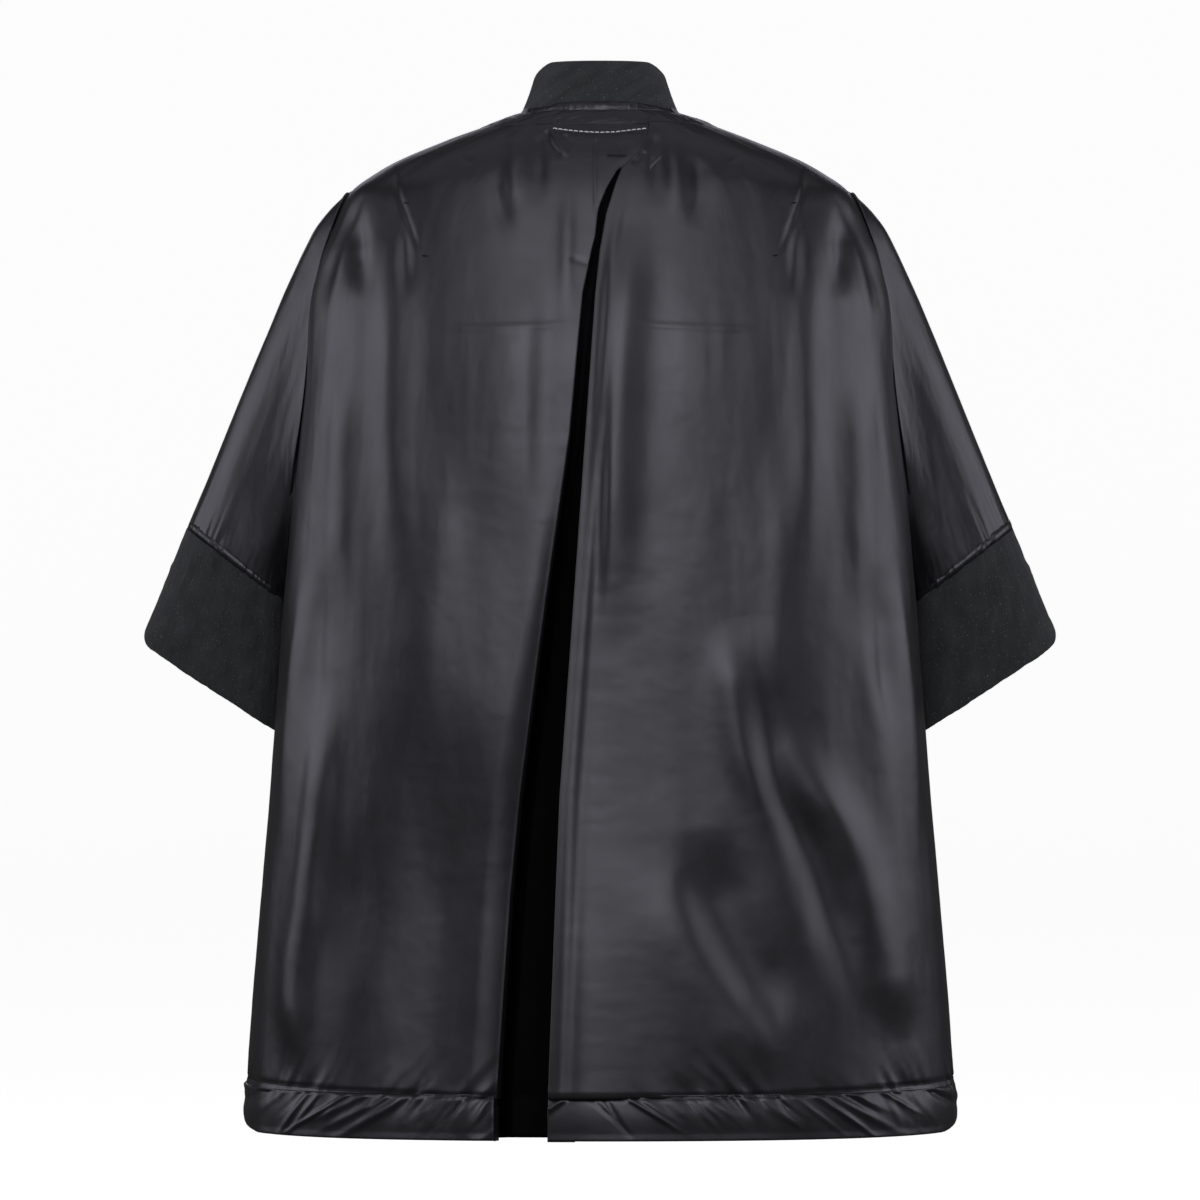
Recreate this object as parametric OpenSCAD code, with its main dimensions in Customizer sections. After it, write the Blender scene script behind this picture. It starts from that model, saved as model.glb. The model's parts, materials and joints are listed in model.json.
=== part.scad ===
// Elbow-sleeved barber cape in satin, with a knit stand collar and deep knit cuffs.
// Origin at the centre of the neck seam, +Z up, the wearer faces +Y, so the back panels lie on -Y.
// Heights are measured down from the neck seam, so most of them are negative.

/* [Neck] */
// Width of the neck opening at its seam
neck_w = 160; // [150:1:170]
// Depth of the neck opening at its seam, from the centre line to the back
neck_d = 72; // [68:1:78]
// Height of the knit collar
collar_h = 50; // [40:1:60]
// Width of the collar along its top edge
collar_top_w = 124; // [116:1:130]
// How much lower the front of the neck sits than its back
front_drop = 45; // [35:1:55]
// Height of the satin band under the collar
band_h = 14; // [12:1:16]

/* [Body] */
// Height from the neck seam down to the hem
body_h = 1011; // [990:1:1030]
// Width across the hem
hem_w = 710; // [700:1:725]
// Depth of the back at the hem, from the centre line
hem_back = 190; // [180:1:195]
// Depth of the front at the hem, from the centre line
hem_front = 185; // [175:1:190]
// Width between the shoulder points
shoulder_w = 500; // [496:1:506]
// Width of the body at the bottom of the armholes
under_w = 614; // [608:1:620]
// Height of the hem band
hem_h = 45; // [35:1:55]
// Thickness of the satin panels
cloth_t = 2.5; // [2:0.1:2.6]
// Thickness of the knit collar and cuffs
knit_t = 3.5; // [3:0.1:4]

/* [Back pleat] */
// Width of the open pleat at the hem
pleat_w = 53; // [45:1:60]
// Depth of the pleat at the hem
pleat_depth = 38; // [30:1:42]

/* [Sleeves] */
// Height of the top of the armhole
arm_top = -76; // [-78:1:-75]
// Height of the bottom of the armhole
arm_bottom = -386; // [-392:1:-380]
// How far the armhole reaches forward of the side
arm_front = 72; // [66:1:74]
// How far the armhole reaches back from the side
arm_back = 30; // [26:1:34]
// How far forward the arm carries the sleeve at the cuff
arm_forward = 90; // [86:1:96]
// Half the thickness of the cuff, front to back
cuff_d = 48; // [44:1:52]

/* [Front] */
// How far the front edge lies past the centre line
lap = 20; // [18:1:22]
// Height where the front flap starts to open
flap_top = -200; // [-210:1:-200]
// Distance of the flap's fold line from the centre line at the hem
fold_x = 190; // [180:1:200]
// Distance between press studs
snap_pitch = 130; // [125:1:132]
// Radius of a press stud's cap
snap_r = 7.5; // [7:0.1:8]

/* [Hidden] */

satin = "#3c3b42";
satin_dark = "#2c2b31";
knit = "#2a2c2b";
steel = "#9a9ca0";
thread = "#e8e8e4";

// How boxy the body's plan is: 1 is an ellipse, less is squarer
square = 0.8;
// Height over which the drop of the front neck fades out
fade_h = 200;
hem_z = -body_h;
hem_top = hem_z + hem_h;
gap = 0.6;
layer = 0.1;
// Columns of facets across a panel
cols = 12;
// Points round a sleeve
round_n = 24;

// Middle of the armhole, half its height, and the middle of the skirt below it
arm_z = (arm_top + arm_bottom) / 2;
arm_h = (arm_top - arm_bottom) / 2;
hip_z = (arm_bottom + hem_top) / 2;

// Half-width of the body at height z
function half_w(z) = lookup(z, [
    [hem_z, hem_w / 2], [0.9 * hem_z, hem_w / 2 - 5], [-620, 325], [-525, 320],
    [arm_bottom, under_w / 2], [-275, 296], [-161, 287], [-90, shoulder_w / 2 + 7],
    [arm_top, shoulder_w / 2], [-49, 207], [-25, 148], [0, neck_w / 2]]);

// Depth of the back from the centre line at height z
function back_d(z) = lookup(z, [
    [hem_z, hem_back], [hip_z, 171], [arm_bottom, 157], [arm_z, 151], [arm_top, 122],
    [-25, 92], [0, neck_d]]);

// Depth of the front from the centre line at height z
function front_d(z) = lookup(z, [
    [hem_z, hem_front], [hip_z, 166], [arm_bottom, 151], [arm_z, 141], [arm_top, 111],
    [-25, 88], [0, neck_d]]);

function side_power(v) = sign(v) * pow(abs(v), square);
function fade(z) = max(0, 1 + z / fade_h);
function drop(z, t) = front_drop * fade(z) * pow(max(0, -cos(t)), 1.5);

// A point of a closed plan: t is 0 at the centre back and 90 at the wearer's right side
function plan(w, back, front, z, t, in) = [
    (w - in) * side_power(sin(t)),
    -((cos(t) > 0 ? back : front) - in) * side_power(cos(t)),
    z - drop(z, t)];

// A point of the body, set inwards by the distance in
function spot(z, t, in) = plan(half_w(z), back_d(z), front_d(z), z, t, in);

// The angle of a point at distance x from the centre line, on the back and on the front
function back_t(z, x) = sign(x) * asin(pow(abs(x) / half_w(z), 1 / square));
function front_t(z, x) = 180 - back_t(z, x);

// How far the armhole opens at height z, where reach is its full depth
function arm_y(z, reach) = reach * sqrt(max(0, 1 - pow((z - arm_z) / arm_h, 2)));

// The angle where the back and the front end: at the side seam or at the armhole
function back_end(z) = acos(pow(arm_y(z, arm_back) / back_d(z), 1 / square));
function front_end(z) = 180 - acos(pow(arm_y(z, arm_front) / front_d(z), 1 / square));

// The pleat: the crisp edge of the right panel and the soft edge of the left one
function flap_x(z) = lookup(z, [
    [hem_z, -52], [-685, -40], [-445, -23], [-175, -4], [-115, 3], [-60, 20], [-47, 27]]);
function soft_x(z) = flap_x(z) - layer - lookup(z, [
    [hem_z, pleat_w], [-765, 45], [-505, 29], [-325, 15], [-185, 12], [-100, 3], [-60, 0]]);

// Edge of the left front panel, just clear of the right one
under_edge_x = -lap - 6;

// The line on which the front flap folds open
function fold_line(z) = lookup(z, [[hem_z, fold_x], [flap_top, -lap]]);

function flat(list) = [for (row = list) each row];
function steps(a, b, n) = [for (i = [0 : n]) a + (b - a) * i / n];
function mix(a, b, f) = a + (b - a) * f;
function ease(f) = let (g = min(1, max(0, f))) g * g * (3 - 2 * g);

// Heights of the facet rows, close together along the curve of the armhole
arm_rows = [for (i = [0 : 10]) arm_z + arm_h * cos(18 * i)];
low_rows = [for (z = steps(arm_bottom, hem_top, 6)) if (z < arm_bottom) z];
body_rows = concat([-band_h, -25, -49], arm_rows, low_rows);

// The same heights between a and b, so that layered sheets stay parallel
function rows_in(a, b) = concat([a], [for (z = body_rows) if (z < a - 2 && z > b + 2) z], [b]);

// Two triangles between corners a, b, c, d that run clockwise as seen from outside
function quad(a, b, c, d) = [[a, b, c], [a, c, d]];

// A sheet of cloth between an outer and an inner grid of points
module sheet(outer, inner) {
    m = len(outer);
    n = len(outer[0]);
    half = m * n;
    function at(i, j) = i * n + j;
    polyhedron(concat(flat(outer), flat(inner)), flat([
        for (i = [0 : m - 2], j = [0 : n - 2])
            concat(
                quad(at(i, j), at(i, j + 1), at(i + 1, j + 1), at(i + 1, j)),
                quad(half + at(i, j), half + at(i + 1, j), half + at(i + 1, j + 1),
                    half + at(i, j + 1))),
        for (i = [0 : m - 2])
            concat(
                quad(at(i, 0), at(i + 1, 0), half + at(i + 1, 0), half + at(i, 0)),
                quad(at(i, n - 1), half + at(i, n - 1), half + at(i + 1, n - 1),
                    at(i + 1, n - 1))),
        for (j = [0 : n - 2])
            concat(
                quad(at(0, j), half + at(0, j), half + at(0, j + 1), at(0, j + 1)),
                quad(at(m - 1, j), at(m - 1, j + 1), half + at(m - 1, j + 1),
                    half + at(m - 1, j)))]),
        convexity = 8);
}

// A tube of cloth between outer and inner rings of points
module tube(outer, inner) {
    m = len(outer);
    n = len(outer[0]);
    half = m * n;
    function at(i, j) = i * n + j % n;
    polyhedron(concat(flat(outer), flat(inner)), flat([
        for (i = [0 : m - 2], j = [0 : n - 1])
            concat(
                quad(at(i, j), at(i, j + 1), at(i + 1, j + 1), at(i + 1, j)),
                quad(half + at(i, j), half + at(i + 1, j), half + at(i + 1, j + 1),
                    half + at(i, j + 1))),
        for (j = [0 : n - 1])
            concat(
                quad(at(0, j), half + at(0, j), half + at(0, j + 1), at(0, j + 1)),
                quad(at(m - 1, j), at(m - 1, j + 1), half + at(m - 1, j + 1),
                    half + at(m - 1, j)))]),
        convexity = 8);
}

// A panel over rows of height, from angle start(z) to angle end(z)
module panel(rows, start, end, in = 0, thick = cloth_t, n = cols) {
    outer = [for (z = rows) [for (t = steps(start(z), end(z), n)) spot(z, t, in)]];
    inner = [for (z = rows) [for (t = steps(start(z), end(z), n)) spot(z, t, in + thick)]];
    sheet(outer, inner);
}

/* Neck */

// A point of the knit collar: h is its height above the neck seam
function collar_spot(h, t, in) =
    let (f = h / collar_h)
    let (w = mix(neck_w, collar_top_w, pow(f, 0.8)) / 2)
    let (back = mix(neck_d, neck_d - 17, f))
    let (front = mix(neck_d, neck_d - 10, f))
    plan(w, back, front, 0, t, in) + [0, 0, h];

function slit_start(z) = front_t(z, -lap - 2) - 360;
function slit_end(z) = front_t(z, -lap);

module collar_rib() {
    rows = [collar_h, 0.8 * collar_h, 0.5 * collar_h, 0.25 * collar_h, layer];
    angles = steps(slit_start(0), slit_end(0), 40);
    color(knit)
        sheet(
            [for (h = rows) [for (t = angles) collar_spot(h, t, 0)]],
            [for (h = rows) [for (t = angles) collar_spot(h, t, knit_t)]]);
}

module neck_band() {
    color(satin)
        panel([0, -band_h / 2, -band_h + gap], function(z) slit_start(z),
            function(z) slit_end(z), n = 40);
}

yoke_in = 12;
yoke_bottom = -213;
module yoke_lining() {
    color(satin_dark)
        panel(rows_in(-band_h, yoke_bottom), function(z) -min(58, back_end(z) - 6),
            function(z) min(58, back_end(z) - 6), in = yoke_in, thick = 1.5, n = 14);
}

label_w = 93;
label_h = 44;
label_z = -24;
module label_patch() {
    color("#1f1f22")
        panel([label_z, label_z - label_h / 2, label_z - label_h],
            function(z) back_t(z, -label_w / 2), function(z) back_t(z, label_w / 2),
            in = yoke_in + 3, thick = 1, n = 6);
}

// Hand stitches that hold the label, showing as a white line under the neck band
stitch_n = 18;
stitch_r = 0.6;
module label_stitches() {
    pitch = label_w / stitch_n;
    color(thread)
        for (i = [0 : stitch_n - 1]) {
            x = -label_w / 2 + (i + 0.5) * pitch;
            z = label_z + 3 - 4 * cos(180 * x / label_w);
            translate(spot(z, back_t(z, x), -stitch_r - 0.3))
                rotate([0, 90, 0.45 * back_t(z, x)])
                    cylinder(r = stitch_r, h = 0.7 * pitch, center = true, $fn = 16);
        }
}

loop_w = 60;
loop_h = 26;
ribbon_w = 8;
loop_y = -62;
loop_z = 2;
module hanger_loop() {
    color(satin_dark)
        translate([0, loop_y, loop_z - loop_h])
            rotate([90, 0, 0])
                linear_extrude(1.5, center = true)
                    difference() {
                        translate([-loop_w / 2, 0])
                            square([loop_w, loop_h]);
                        translate([ribbon_w - loop_w / 2, ribbon_w])
                            square([loop_w - 2 * ribbon_w, loop_h - 2 * ribbon_w]);
                    }
}

/* Body */

module back_left_panel() {
    color(satin)
        panel(body_rows, function(z) -back_end(z), function(z) back_t(z, soft_x(z)));
}

module back_right_panel() {
    color(satin)
        panel(body_rows, function(z) back_t(z, flap_x(z)), function(z) back_end(z));
}

// The hidden cloth of the pleat, a trough that widens and deepens towards the hem
pleat_top = -60;
pleat_reach = 14;
pleat_n = 10;
module pleat_underlay() {
    rows = rows_in(pleat_top, hem_z + 3);
    function deep(z) = 4 + (pleat_depth - 4) * ease((-230 - z) / (body_h - 230));
    function across(z, u) =
        back_t(z, mix(soft_x(z) - pleat_reach, flap_x(z) + 2 * pleat_reach, u));
    function in(z, u) = cloth_t + gap + deep(z) * sin(180 * u);
    color("#0c0c0e")
        sheet(
            [for (z = rows) [for (u = steps(0, 1, pleat_n)) spot(z, across(z, u), in(z, u))]],
            [for (z = rows) [for (u = steps(0, 1, pleat_n))
                spot(z, across(z, u), in(z, u) + 2)]]);
}

module front_left_panel() {
    color(satin)
        panel(body_rows, function(z) front_t(z, under_edge_x), function(z) 360 - front_end(z));
}

module front_right_panel() {
    color(satin)
        panel(body_rows, function(z) front_end(z), function(z) front_t(z, fold_line(z) + gap));
}

module front_flap() {
    color(satin)
        panel(rows_in(flap_top - 20, hem_top), function(z) front_t(z, fold_line(z) - gap),
            function(z) front_t(z, -lap));
}

// Strips behind the front edges that carry the press studs
placket_w = 38;
placket_t = 1.8;
placket_in = cloth_t + gap;
// Inner face of the upper placket, the height of a stud's cup, how far its flat pieces stand off
// the curved cloth, and the outer face of the under placket
upper_in = placket_in + placket_t;
cup_h = 2;
seat = 0.5;
under_in = upper_in + cup_h + 1.6;

module left_placket() {
    rows = rows_in(-band_h, hem_z + 2);
    places = [18, 6, -8, -lap, -lap - 12, -lap - placket_w];
    function in(x) = x < under_edge_x ? placket_in : under_in;
    color(satin_dark)
        sheet(
            [for (z = rows) [for (x = places) spot(z, front_t(z, x), in(x))]],
            [for (z = rows) [for (x = places) spot(z, front_t(z, x), in(x) + placket_t)]]);
}

placket_edge = 16;
placket_split = -350;
module right_strip(top, bottom) {
    color(satin_dark)
        panel(rows_in(top, bottom), function(z) front_t(z, placket_edge),
            function(z) front_t(z, -lap + 1), in = placket_in, thick = placket_t, n = 4);
}

module right_placket_upper() {
    right_strip(-band_h, flap_top - 10);
}

module right_placket() {
    right_strip(placket_split, hem_z + 2);
}

/* Hem bands */

module hem(start, end, n = cols) {
    panel([hem_top - layer, hem_z + 6, hem_z + 1.5, hem_z], start, end,
        in = -0.8, thick = cloth_t + 0.8, n = n);
}

module hem_back_left() {
    color(satin)
        hem(function(z) -90, function(z) back_t(z, soft_x(z)));
}

module hem_back_right() {
    color(satin)
        hem(function(z) back_t(z, flap_x(z)), function(z) 90);
}

module hem_front_left() {
    color(satin)
        hem(function(z) front_t(z, under_edge_x), function(z) 270);
}

module hem_front_right() {
    color(satin)
        hem(function(z) 90, function(z) front_t(z, fold_line(z) + gap));
}

module hem_front_flap() {
    color(satin)
        hem(function(z) front_t(z, fold_line(z) - gap), function(z) front_t(z, -lap));
}

/* Sleeves: built for the wearer's right and mirrored for the left */

// The outer edge and the underarm edge of the sleeve, as [x, z], at the share s of its length
seam_out = [417, -414];
seam_in = [307, -492];
cuff_out = [465, -526];
cuff_in = [311, -627];
function outer_edge(s) = [
    lookup(s, [[0, shoulder_w / 2 + 2], [0.06, 268], [0.13, 284], [0.27, 308],
        [0.5, 342], [1, seam_out.x]]),
    lookup(s, [[0, arm_top], [0.06, -90], [0.13, -112], [0.27, -166],
        [0.5, -240], [1, seam_out.y]])];
function under_edge(s) = [
    mix(half_w(arm_bottom) + gap, seam_in.x, s), mix(arm_bottom, seam_in.y, s)];

// Where the body's surface lies at depth y and height z, measured from the centre line
function side_x(y, z) =
    half_w(z) * pow(1 - pow(abs(y) / (y < 0 ? back_d(z) : front_d(z)), 2 / square), square / 2);

// A point round the sleeve: angle a is 0 at its outer edge and 180 at the underarm
function oval(top, low, forward, depth, a, in) =
    let (mid = (top + low) / 2)
    let (reach = (top - low) / 2)
    let (shrink = (norm(reach) - in) / norm(reach))
    [mid.x + reach.x * shrink * cos(a), forward + (depth - in) * side_power(sin(a)),
        mid.y + reach.y * shrink * cos(a)];

// The sleeve's depth in front of and behind its middle, at the share s of its length
function sleeve_d(s, a) = mix(sin(a) < 0 ? arm_back : arm_front, cuff_d + 2, s);

function sleeve_spot(s, a, in) =
    let (p = oval(outer_edge(s), under_edge(s), 0.84 * arm_forward * s, sleeve_d(s, a), a, in))
    let (y0 = (sleeve_d(0, a) - in) * sin(a))
    let (z0 = arm_z + (arm_h - in) * cos(a))
    let (mouth = [side_x(y0, z0) + gap, y0, z0])
    mix(mouth, p, ease(s / 0.3));

function cuff_spot(f, a, in) =
    oval(mix(seam_out, cuff_out, f), mix(seam_in, cuff_in, f),
        mix(0.84 * arm_forward, arm_forward, f), mix(cuff_d + 2, cuff_d, f), a, in);

round_angles = [for (j = [0 : round_n - 1]) -360 * j / round_n];

module sleeve() {
    shares = [0, 0.06, 0.13, 0.2, 0.27, 0.4, 0.55, 0.75, 0.995];
    color(satin)
        tube([for (s = shares) [for (a = round_angles) sleeve_spot(s, a, 0)]],
            [for (s = shares) [for (a = round_angles) sleeve_spot(s, a, cloth_t)]]);
}

module cuff() {
    shares = [0.012, 0.35, 0.7, 0.97, 1];
    color(knit)
        tube([for (f = shares) [for (a = round_angles) cuff_spot(f, a, f < 1 ? 0 : 1)]],
            [for (f = shares) [for (a = round_angles) cuff_spot(f, a, knit_t)]]);
}

// The rolled seam allowance that stands proud where the cuff joins the sleeve
roll_h = 1.8;
module cuff_seam() {
    color(satin)
        tube([for (s = [0.965, 0.98, 0.995]) [for (a = round_angles)
                sleeve_spot(s, a, -layer - roll_h)]],
            [for (s = [0.965, 0.98, 0.995]) [for (a = round_angles) sleeve_spot(s, a, -layer)]]);
}

module left_sleeve() {
    mirror([1, 0, 0])
        sleeve();
}

module right_sleeve() {
    sleeve();
}

module left_cuff() {
    mirror([1, 0, 0])
        cuff();
}

module right_cuff() {
    cuff();
}

module left_cuff_seam() {
    mirror([1, 0, 0])
        cuff_seam();
}

module right_cuff_seam() {
    cuff_seam();
}

/* Press studs */

upper_snaps = [-100, -100 - snap_pitch];
flap_snaps = [for (i = [2 : 6]) -100 - i * snap_pitch];

// Puts a piece on the front centre line, its +Z pointing out of the cloth
module on_front(z, in) {
    lean = atan2(front_d(z - 5) - front_d(z + 5), 10);
    translate(spot(z, 180, in))
        rotate([lean - 90, 0, 0])
            children();
}

module snap_cap() {
    rotate_extrude($fn = 48)
        polygon([[0, 0], [snap_r, 0], [snap_r, 0.6], [0.85 * snap_r, 1.2], [0, 1.6]]);
}

// The cup under the upper placket that takes the stud
cup_r = 4.6;
cup_roof = 0.5;
module snap_socket() {
    difference() {
        cylinder(r = snap_r - 1, h = cup_h, $fn = 48);
        translate([0, 0, -1])
            cylinder(r = cup_r, h = 1 + cup_h - cup_roof, $fn = 48);
    }
}

base_t = 0.5;
stud_r = 2.6;
module snap_stud() {
    cylinder(r = snap_r - 1.5, h = base_t, $fn = 48);
    cylinder(r = stud_r, h = 1.9, $fn = 48);
}

module upper_snap_caps() {
    color(steel)
        for (z = upper_snaps)
            on_front(z, -seat)
                snap_cap();
}

module snap_caps() {
    color(steel)
        for (z = flap_snaps)
            on_front(z, -seat)
                snap_cap();
}

module upper_snap_sockets() {
    color(steel)
        for (z = upper_snaps)
            on_front(z, upper_in + seat + cup_h)
                snap_socket();
}

module snap_sockets() {
    color(steel)
        for (z = flap_snaps)
            on_front(z, upper_in + seat + cup_h)
                snap_socket();
}

// The split ring in each socket that grips the stud
ring_r = 0.35;
module snap_springs() {
    color("#c8c9cc")
        for (z = flap_snaps)
            on_front(z, upper_in + seat + cup_h / 2 + ring_r)
                rotate([0, 0, 20])
                    rotate_extrude(angle = 320, $fn = 48)
                        translate([cup_r - ring_r - 0.2, 0])
                            circle(r = ring_r, $fn = 16);
}

module snap_studs() {
    color(steel)
        for (z = concat(upper_snaps, flap_snaps))
            on_front(z, under_in - 0.4)
                snap_stud();
}

module snap_posts() {
    color(steel)
        for (z = concat(upper_snaps, flap_snaps))
            on_front(z, under_in + placket_t + seat + 2 * base_t)
                cylinder(r = snap_r - 1.5, h = 2 * base_t, $fn = 48);
}

/* Thread bars at the head of the pleat and at the points of the shoulder darts */
bar_r = 0.7;
bars = [[16, -48, 18], [-172, -147, 5], [172, -147, 5], [-191, -94, 5], [191, -94, 5]];
module bartacks() {
    color("#141416")
        for (b = bars)
            translate(spot(b.y, back_t(b.y, b.x), -bar_r - layer))
                rotate([0, 90, 0.45 * back_t(b.y, b.x)])
                    cylinder(r = bar_r, h = b.z, center = true, $fn = 16);
}

collar_rib();
neck_band();
label_patch();
label_stitches();
hanger_loop();
yoke_lining();
back_left_panel();
back_right_panel();
pleat_underlay();
front_left_panel();
front_right_panel();
front_flap();
left_placket();
right_placket_upper();
right_placket();
hem_back_left();
hem_back_right();
hem_front_left();
hem_front_right();
hem_front_flap();
left_sleeve();
right_sleeve();
left_cuff();
right_cuff();
left_cuff_seam();
right_cuff_seam();
upper_snap_caps();
upper_snap_sockets();
snap_caps();
snap_sockets();
snap_springs();
snap_studs();
snap_posts();
bartacks();
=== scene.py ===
"""Black satin barber cape with a knit stand collar and cuffs, seen from behind.

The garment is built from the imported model's own profile: the heights, widths and depths of the
panels are read from the CAD nodes, and each piece of cloth is a fine grid laid over that profile.
Lengths are in metres; MM and the fold lists are in millimetres of the garment's own frame.
"""
import json
import math
import bpy
import numpy as np
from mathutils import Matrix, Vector


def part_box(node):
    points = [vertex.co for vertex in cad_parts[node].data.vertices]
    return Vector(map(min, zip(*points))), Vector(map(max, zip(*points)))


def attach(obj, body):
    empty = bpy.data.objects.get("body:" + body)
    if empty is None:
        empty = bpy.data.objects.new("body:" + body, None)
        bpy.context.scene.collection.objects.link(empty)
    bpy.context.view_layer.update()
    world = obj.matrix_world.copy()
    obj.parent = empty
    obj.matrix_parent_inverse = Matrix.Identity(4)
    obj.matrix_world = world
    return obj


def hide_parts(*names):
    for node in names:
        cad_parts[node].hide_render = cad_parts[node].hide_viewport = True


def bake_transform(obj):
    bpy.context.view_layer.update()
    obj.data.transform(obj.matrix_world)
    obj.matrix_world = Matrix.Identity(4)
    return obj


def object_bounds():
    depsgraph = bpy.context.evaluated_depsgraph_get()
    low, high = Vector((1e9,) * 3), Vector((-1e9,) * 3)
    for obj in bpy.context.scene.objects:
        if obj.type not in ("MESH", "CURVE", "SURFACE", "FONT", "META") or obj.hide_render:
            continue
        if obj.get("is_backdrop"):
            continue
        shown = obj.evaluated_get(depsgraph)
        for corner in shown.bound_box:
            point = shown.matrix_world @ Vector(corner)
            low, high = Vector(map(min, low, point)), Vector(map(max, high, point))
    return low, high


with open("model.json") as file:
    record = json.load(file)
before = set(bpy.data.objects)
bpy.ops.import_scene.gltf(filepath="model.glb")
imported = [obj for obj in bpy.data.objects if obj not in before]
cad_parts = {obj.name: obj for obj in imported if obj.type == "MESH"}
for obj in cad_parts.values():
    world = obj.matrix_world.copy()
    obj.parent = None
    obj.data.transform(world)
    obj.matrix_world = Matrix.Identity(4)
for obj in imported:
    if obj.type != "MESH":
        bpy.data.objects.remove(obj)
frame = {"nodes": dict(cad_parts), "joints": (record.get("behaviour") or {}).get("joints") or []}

MM = 0.001
cad_low, cad_high = (np.array(corner, float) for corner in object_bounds())
scene = bpy.context.scene

# ---------------------------------------------------------------- camera, floor and lights

VIEW_W = 1.2        # width of the picture at the garment's middle
VIEW_D = 6.5        # how far the camera stands behind the wearer
VIEW_LOW = 0.0045   # how far it stands below the garment's middle
SENSOR = 36.0
middle = (cad_low + cad_high) / 2


def look_at(obj, target):
    obj.rotation_euler = (Vector(target) - obj.location).to_track_quat("-Z", "Y").to_euler()


def add_object(name, data):
    obj = bpy.data.objects.new(name, data)
    scene.collection.objects.link(obj)
    return obj


def make_camera():
    data = bpy.data.cameras.new("camera")
    data.sensor_width = SENSOR
    data.lens = SENSOR * VIEW_D / VIEW_W
    data.clip_end = 60
    camera = add_object("camera", data)
    height = middle[2] - VIEW_LOW
    camera.location = (0, -VIEW_D, height)
    look_at(camera, (0, 0, height))
    scene.camera = camera


def area_light(name, place, target, size, power, colour):
    data = bpy.data.lights.new(name, "AREA")
    data.shape = "RECTANGLE"
    data.size, data.size_y = size
    data.energy = power
    data.color = colour
    light = add_object(name, data)
    light.location = place
    light.visible_camera = False
    look_at(light, target)


make_camera()

# ---------------------------------------------------------------- numbers for cloth


def lerp(a, b, f):
    return a + (b - a) * f


def smooth(f):
    f = np.clip(f, 0, 1)
    return f * f * (3 - 2 * f)


def bump(d, wide):
    return np.exp(-(d / wide) ** 2)


def unit(v):
    return v / np.maximum(np.linalg.norm(v, axis=-1, keepdims=True), 1e-9)


def run_along(points):
    """Distances of a line's points from its first."""
    return np.concatenate([[0], np.cumsum(np.linalg.norm(np.diff(points, axis=0), axis=1))])


def noise(u, v, seed):
    """Smooth noise between -1 and 1, one cell to the unit."""
    lattice = np.random.RandomState(seed).uniform(-1, 1, (64, 64))
    i, j = np.floor(u).astype(int), np.floor(v).astype(int)
    f, g = u - i, v - j
    f, g = f * f * (3 - 2 * f), g * g * (3 - 2 * g)
    row0 = lerp(lattice[i % 64, j % 64], lattice[(i + 1) % 64, j % 64], f)
    row1 = lerp(lattice[i % 64, (j + 1) % 64], lattice[(i + 1) % 64, (j + 1) % 64], f)
    return lerp(row0, row1, g)


def rough(u, v, seed):
    """Noise of three sizes."""
    return noise(u, v, seed) + 0.5 * noise(2.1 * u, 2.1 * v, seed + 1) + \
        0.25 * noise(4.3 * u, 4.3 * v, seed + 2)


# ---------------------------------------------------------------- the garment's profile


def points_of(*nodes):
    """The corners of CAD nodes as an array."""
    found = []
    for node in nodes:
        mesh = frame["nodes"][node].data
        co = np.empty(len(mesh.vertices) * 3)
        mesh.vertices.foreach_get("co", co)
        found.append(co.reshape(-1, 3))
    return np.concatenate(found)


def levels(points):
    """Each height, from the top down, and the points at it."""
    for z in sorted({round(float(v), 5) for v in points[:, 2]}, reverse=True):
        yield z, points[np.abs(points[:, 2] - z) < 2e-5]


SQUARE = 0.8        # the plan's squareness: 1 would be an ellipse
POWER = 2 / SQUARE


def power(v):
    return np.sign(v) * np.abs(v) ** SQUARE


def read_profile():
    """Height, half-width, back depth, front depth and front drop, from the neck to the hem."""
    back = points_of("back_left_panel", "back_right_panel")
    edge = np.unique(points_of("front_left_panel").round(5), axis=0)
    places, counts = np.unique(edge[:, 0], return_counts=True)
    edge = edge[edge[:, 0] == places[counts.argmax()]]
    edge = edge[np.argsort(-edge[:, 2])]
    collar_low, collar_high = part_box("collar_rib")
    rows = [(0, collar_high[0], -collar_low[1], collar_high[1], -collar_low[2])]
    for (z, row), front in zip(levels(back), edge):
        depth = -row[:, 1].min()
        side = row[np.argmax(row[:, 0])]
        half = side[0] / max(1 - (abs(side[1]) / depth) ** POWER, 0.2) ** (1 / POWER)
        rows.append((z, half, depth, front[1], z - front[2]))
    low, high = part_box("hem_back_right")
    rows.append((low[2], high[0], -low[1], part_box("hem_front_left")[1][1], 0))
    return np.array(rows)


def soften(rows, step=0.002):
    """The profile resampled evenly along the cloth, its corners eased."""
    run = run_along(rows[:, :3])
    s = np.arange(0, run[-1], step)
    fine = np.stack([np.interp(s, run, rows[:, k]) for k in range(rows.shape[1])], 1)
    eased = []
    for k, blur in enumerate((0.010, 0.010, 0.032, 0.026, 0.026)):
        reach = int(3 * blur / step)
        weights = np.exp(-(np.arange(-reach, reach + 1) * step / blur) ** 2 / 2)
        column = fine[:, k]
        head = 2 * column[0] - column[reach:0:-1]
        tail = 2 * column[-1] - column[-2:-reach - 2:-1]
        padded = np.concatenate([head, column, tail])
        eased.append(np.convolve(padded, weights / weights.sum(), "valid"))
    return s, np.stack(eased, 1)


profile_s, profile = soften(read_profile())
LENGTH = profile_s[-1]


def at(s):
    """Height, half-width, back, front and drop at the distance s down the cloth."""
    return [np.interp(s, profile_s, profile[:, k]) for k in range(5)]


def s_of(z):
    """Distance down the cloth where the back is at height z."""
    return np.interp(-np.asarray(z, float), -profile[:, 0], profile_s)


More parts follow.
